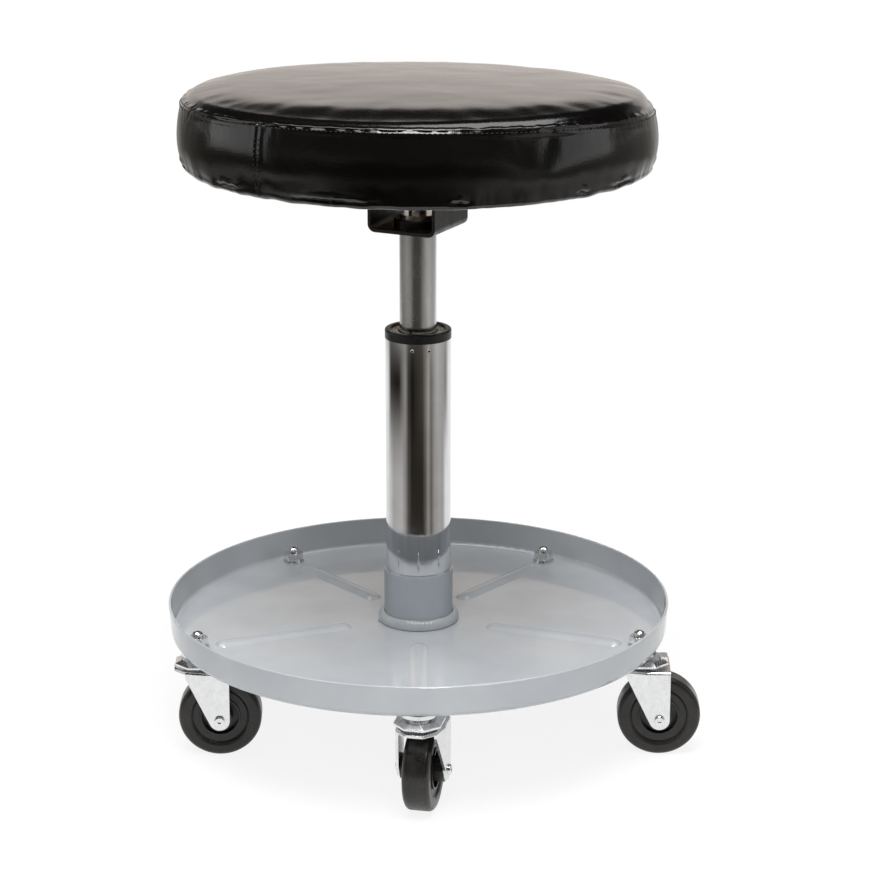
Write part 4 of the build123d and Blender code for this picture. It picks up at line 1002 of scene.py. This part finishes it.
def addStitch(points, faces, middle, along, normal):
    # a short twisted bead of thread with its ends sunk into the cover
    s = stitching
    side = along.cross(normal).normalized()
    length, thick, rings, sides = s["length"] * mm, s["thick"] * mm, s["rings"], s["sides"]
    base = len(points)
    for i in range(rings):
        t = i / (rings - 1) * 2 - 1
        rise = (1 - t * t) * thick * s["rise"] - thick * s["sunk"]
        radius = thick * math.sqrt(max(s["endRound"], 1 - (t * s["endTaper"]) ** 2))
        radius *= 1 + s["plyRise"] * math.sin(t * s["plies"])
        centre = middle + along * (t * length / 2) + normal * rise
        for k in range(sides):
            a = 2 * math.pi * k / sides + t * s["twist"]
            points.append(centre + side * (radius * math.cos(a)) + normal * (radius * math.sin(a)))
    for i in range(rings - 1):
        for k in range(sides):
            m = (k + 1) % sides
            faces.append((
                base + i * sides + k, base + i * sides + m,
                base + (i + 1) * sides + m, base + (i + 1) * sides + k,
            ))
    faces.append(tuple(base + k for k in range(sides))[::-1])
    faces.append(tuple(base + (rings - 1) * sides + k for k in range(sides)))


def layBandStitches():
    points, faces = [], []
    s = stitching
    for row in (-1, 1):
        z = s["bandStart"]
        while z < s["bandEnd"]:
            a = math.radians(pad["bandSeam"] + math.degrees(row * s["offset"] / pad["seamRadius"]))
            out = Vector((math.cos(a), math.sin(a), 0))
            place, normal = surfacePoint(seatPad, out, z)
            if place:
                along = Vector((0, 0, 1)) - normal * normal.z
                addStitch(points, faces, place, along.normalized(), normal)
            z += s["gap"]
    return meshPiece("bandStitches", points, faces)


def layTopStitches():
    points, faces = [], []
    s = stitching
    seamR = pad["seamRadius"]
    count = int(2 * math.pi * seamR / s["gap"])
    for i in range(count):
        a = 2 * math.pi * i / count
        out = Vector((math.cos(a), math.sin(a), 0))
        lean = leanAt(seamR * out.x, seamR * out.y, 1.0, 1.0)
        level = seamHeightAt(math.degrees(a)) + lean - s["below"]
        place, normal = surfacePoint(seatPad, out, level)
        if place:
            addStitch(points, faces, place, Vector((-out.y, out.x, 0)), normal)
    return meshPiece("topStitches", points, faces)


for piece in (layBandStitches(), layTopStitches()):
    piece.data.materials.append(thread)
    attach(piece, "seat")
print("stage 6: stitches laid")

# weld bead round the socket: laid by hand, with ripples, a restart and one spatter bump. Sizes are in
# millimetres and bearings in degrees
bead = {
    "inner": 26.45, "outer": 31.5, "foot": 88.0, "height": 8.2, "around": 360, "rows": 14,
    # ripples bow forward along the bead like overlapping coins
    "rippleMm": 3.4, "ripple": 0.28, "rippleSunk": 0.6, "rippleBow": 1.4, "rippleEnds": 0.6,
    "bulge": (0.92, 0.12), "unevenShare": 0.06, "unevenTurns": 2.2,
    "restart": (58.0, 7.0, 0.10),  # bearing, width and extra height
    "spatter": (-166.0, 3.0, 1.7, 0.4),  # bearing, width, how far out and how far up it stands
    "spatterLow": (0.15, 0.45),  # and where it sits on the quarter turn of the section
}


def makeBead():
    b = bead
    points, faces = [], []
    restartAt, restartWidth, restartRise = b["restart"]
    spatterAt, spatterWidth, spatterOut, spatterUp = b["spatter"]
    for i in range(b["around"]):
        a = 2 * math.pi * i / b["around"]
        bearing = math.degrees(a)
        along = a * b["outer"]
        turn = Vector((math.cos(a), math.sin(a), 0))
        swell = 1 + b["unevenShare"] * noise.noise(turn * b["unevenTurns"])
        swell += restartRise * bump(angleFrom(bearing, restartAt), 0, restartWidth)
        for j in range(b["rows"]):
            t = j / (b["rows"] - 1) * math.pi / 2
            shape = math.sin(2 * t)
            lag = b["rippleBow"] * shape
            ripple = abs(math.sin(math.pi * (along - lag) / b["rippleMm"])) - b["rippleSunk"]
            ripple *= b["ripple"] * shape ** b["rippleEnds"] if 0 < t < math.pi / 2 else 0
            bulge = (b["bulge"][0] + b["bulge"][1] * shape) * swell
            r = b["inner"] + (b["outer"] - b["inner"]) * math.cos(t) * bulge + ripple * math.cos(t)
            z = b["foot"] + b["height"] * math.sin(t) * bulge + ripple * math.sin(t)
            drop = bump(angleFrom(bearing, spatterAt), 0, spatterWidth) * bump(t, *b["spatterLow"])
            r += spatterOut * drop
            z = max(b["foot"], z + spatterUp * drop)
            points.append((r * turn.x * mm, r * turn.y * mm, z * mm))
        points.append((b["inner"] * turn.x * mm, b["inner"] * turn.y * mm, b["foot"] * mm))
    rows = b["rows"] + 1
    for i in range(b["around"]):
        k = (i + 1) % b["around"]
        for j in range(rows):
            m = (j + 1) % rows
            faces.append((i * rows + j, k * rows + j, k * rows + m, i * rows + m))
    piece = meshPiece("weldBead", points, faces)
    smoother = piece.modifiers.new("smoother", "SUBSURF")
    smoother.levels = smoother.render_levels = 1
    piece.data.materials.append(finishes["weld_paint"])
    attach(piece, "base")
    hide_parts("socket_weld")


makeBead()
print("stage 7: weld bead laid")
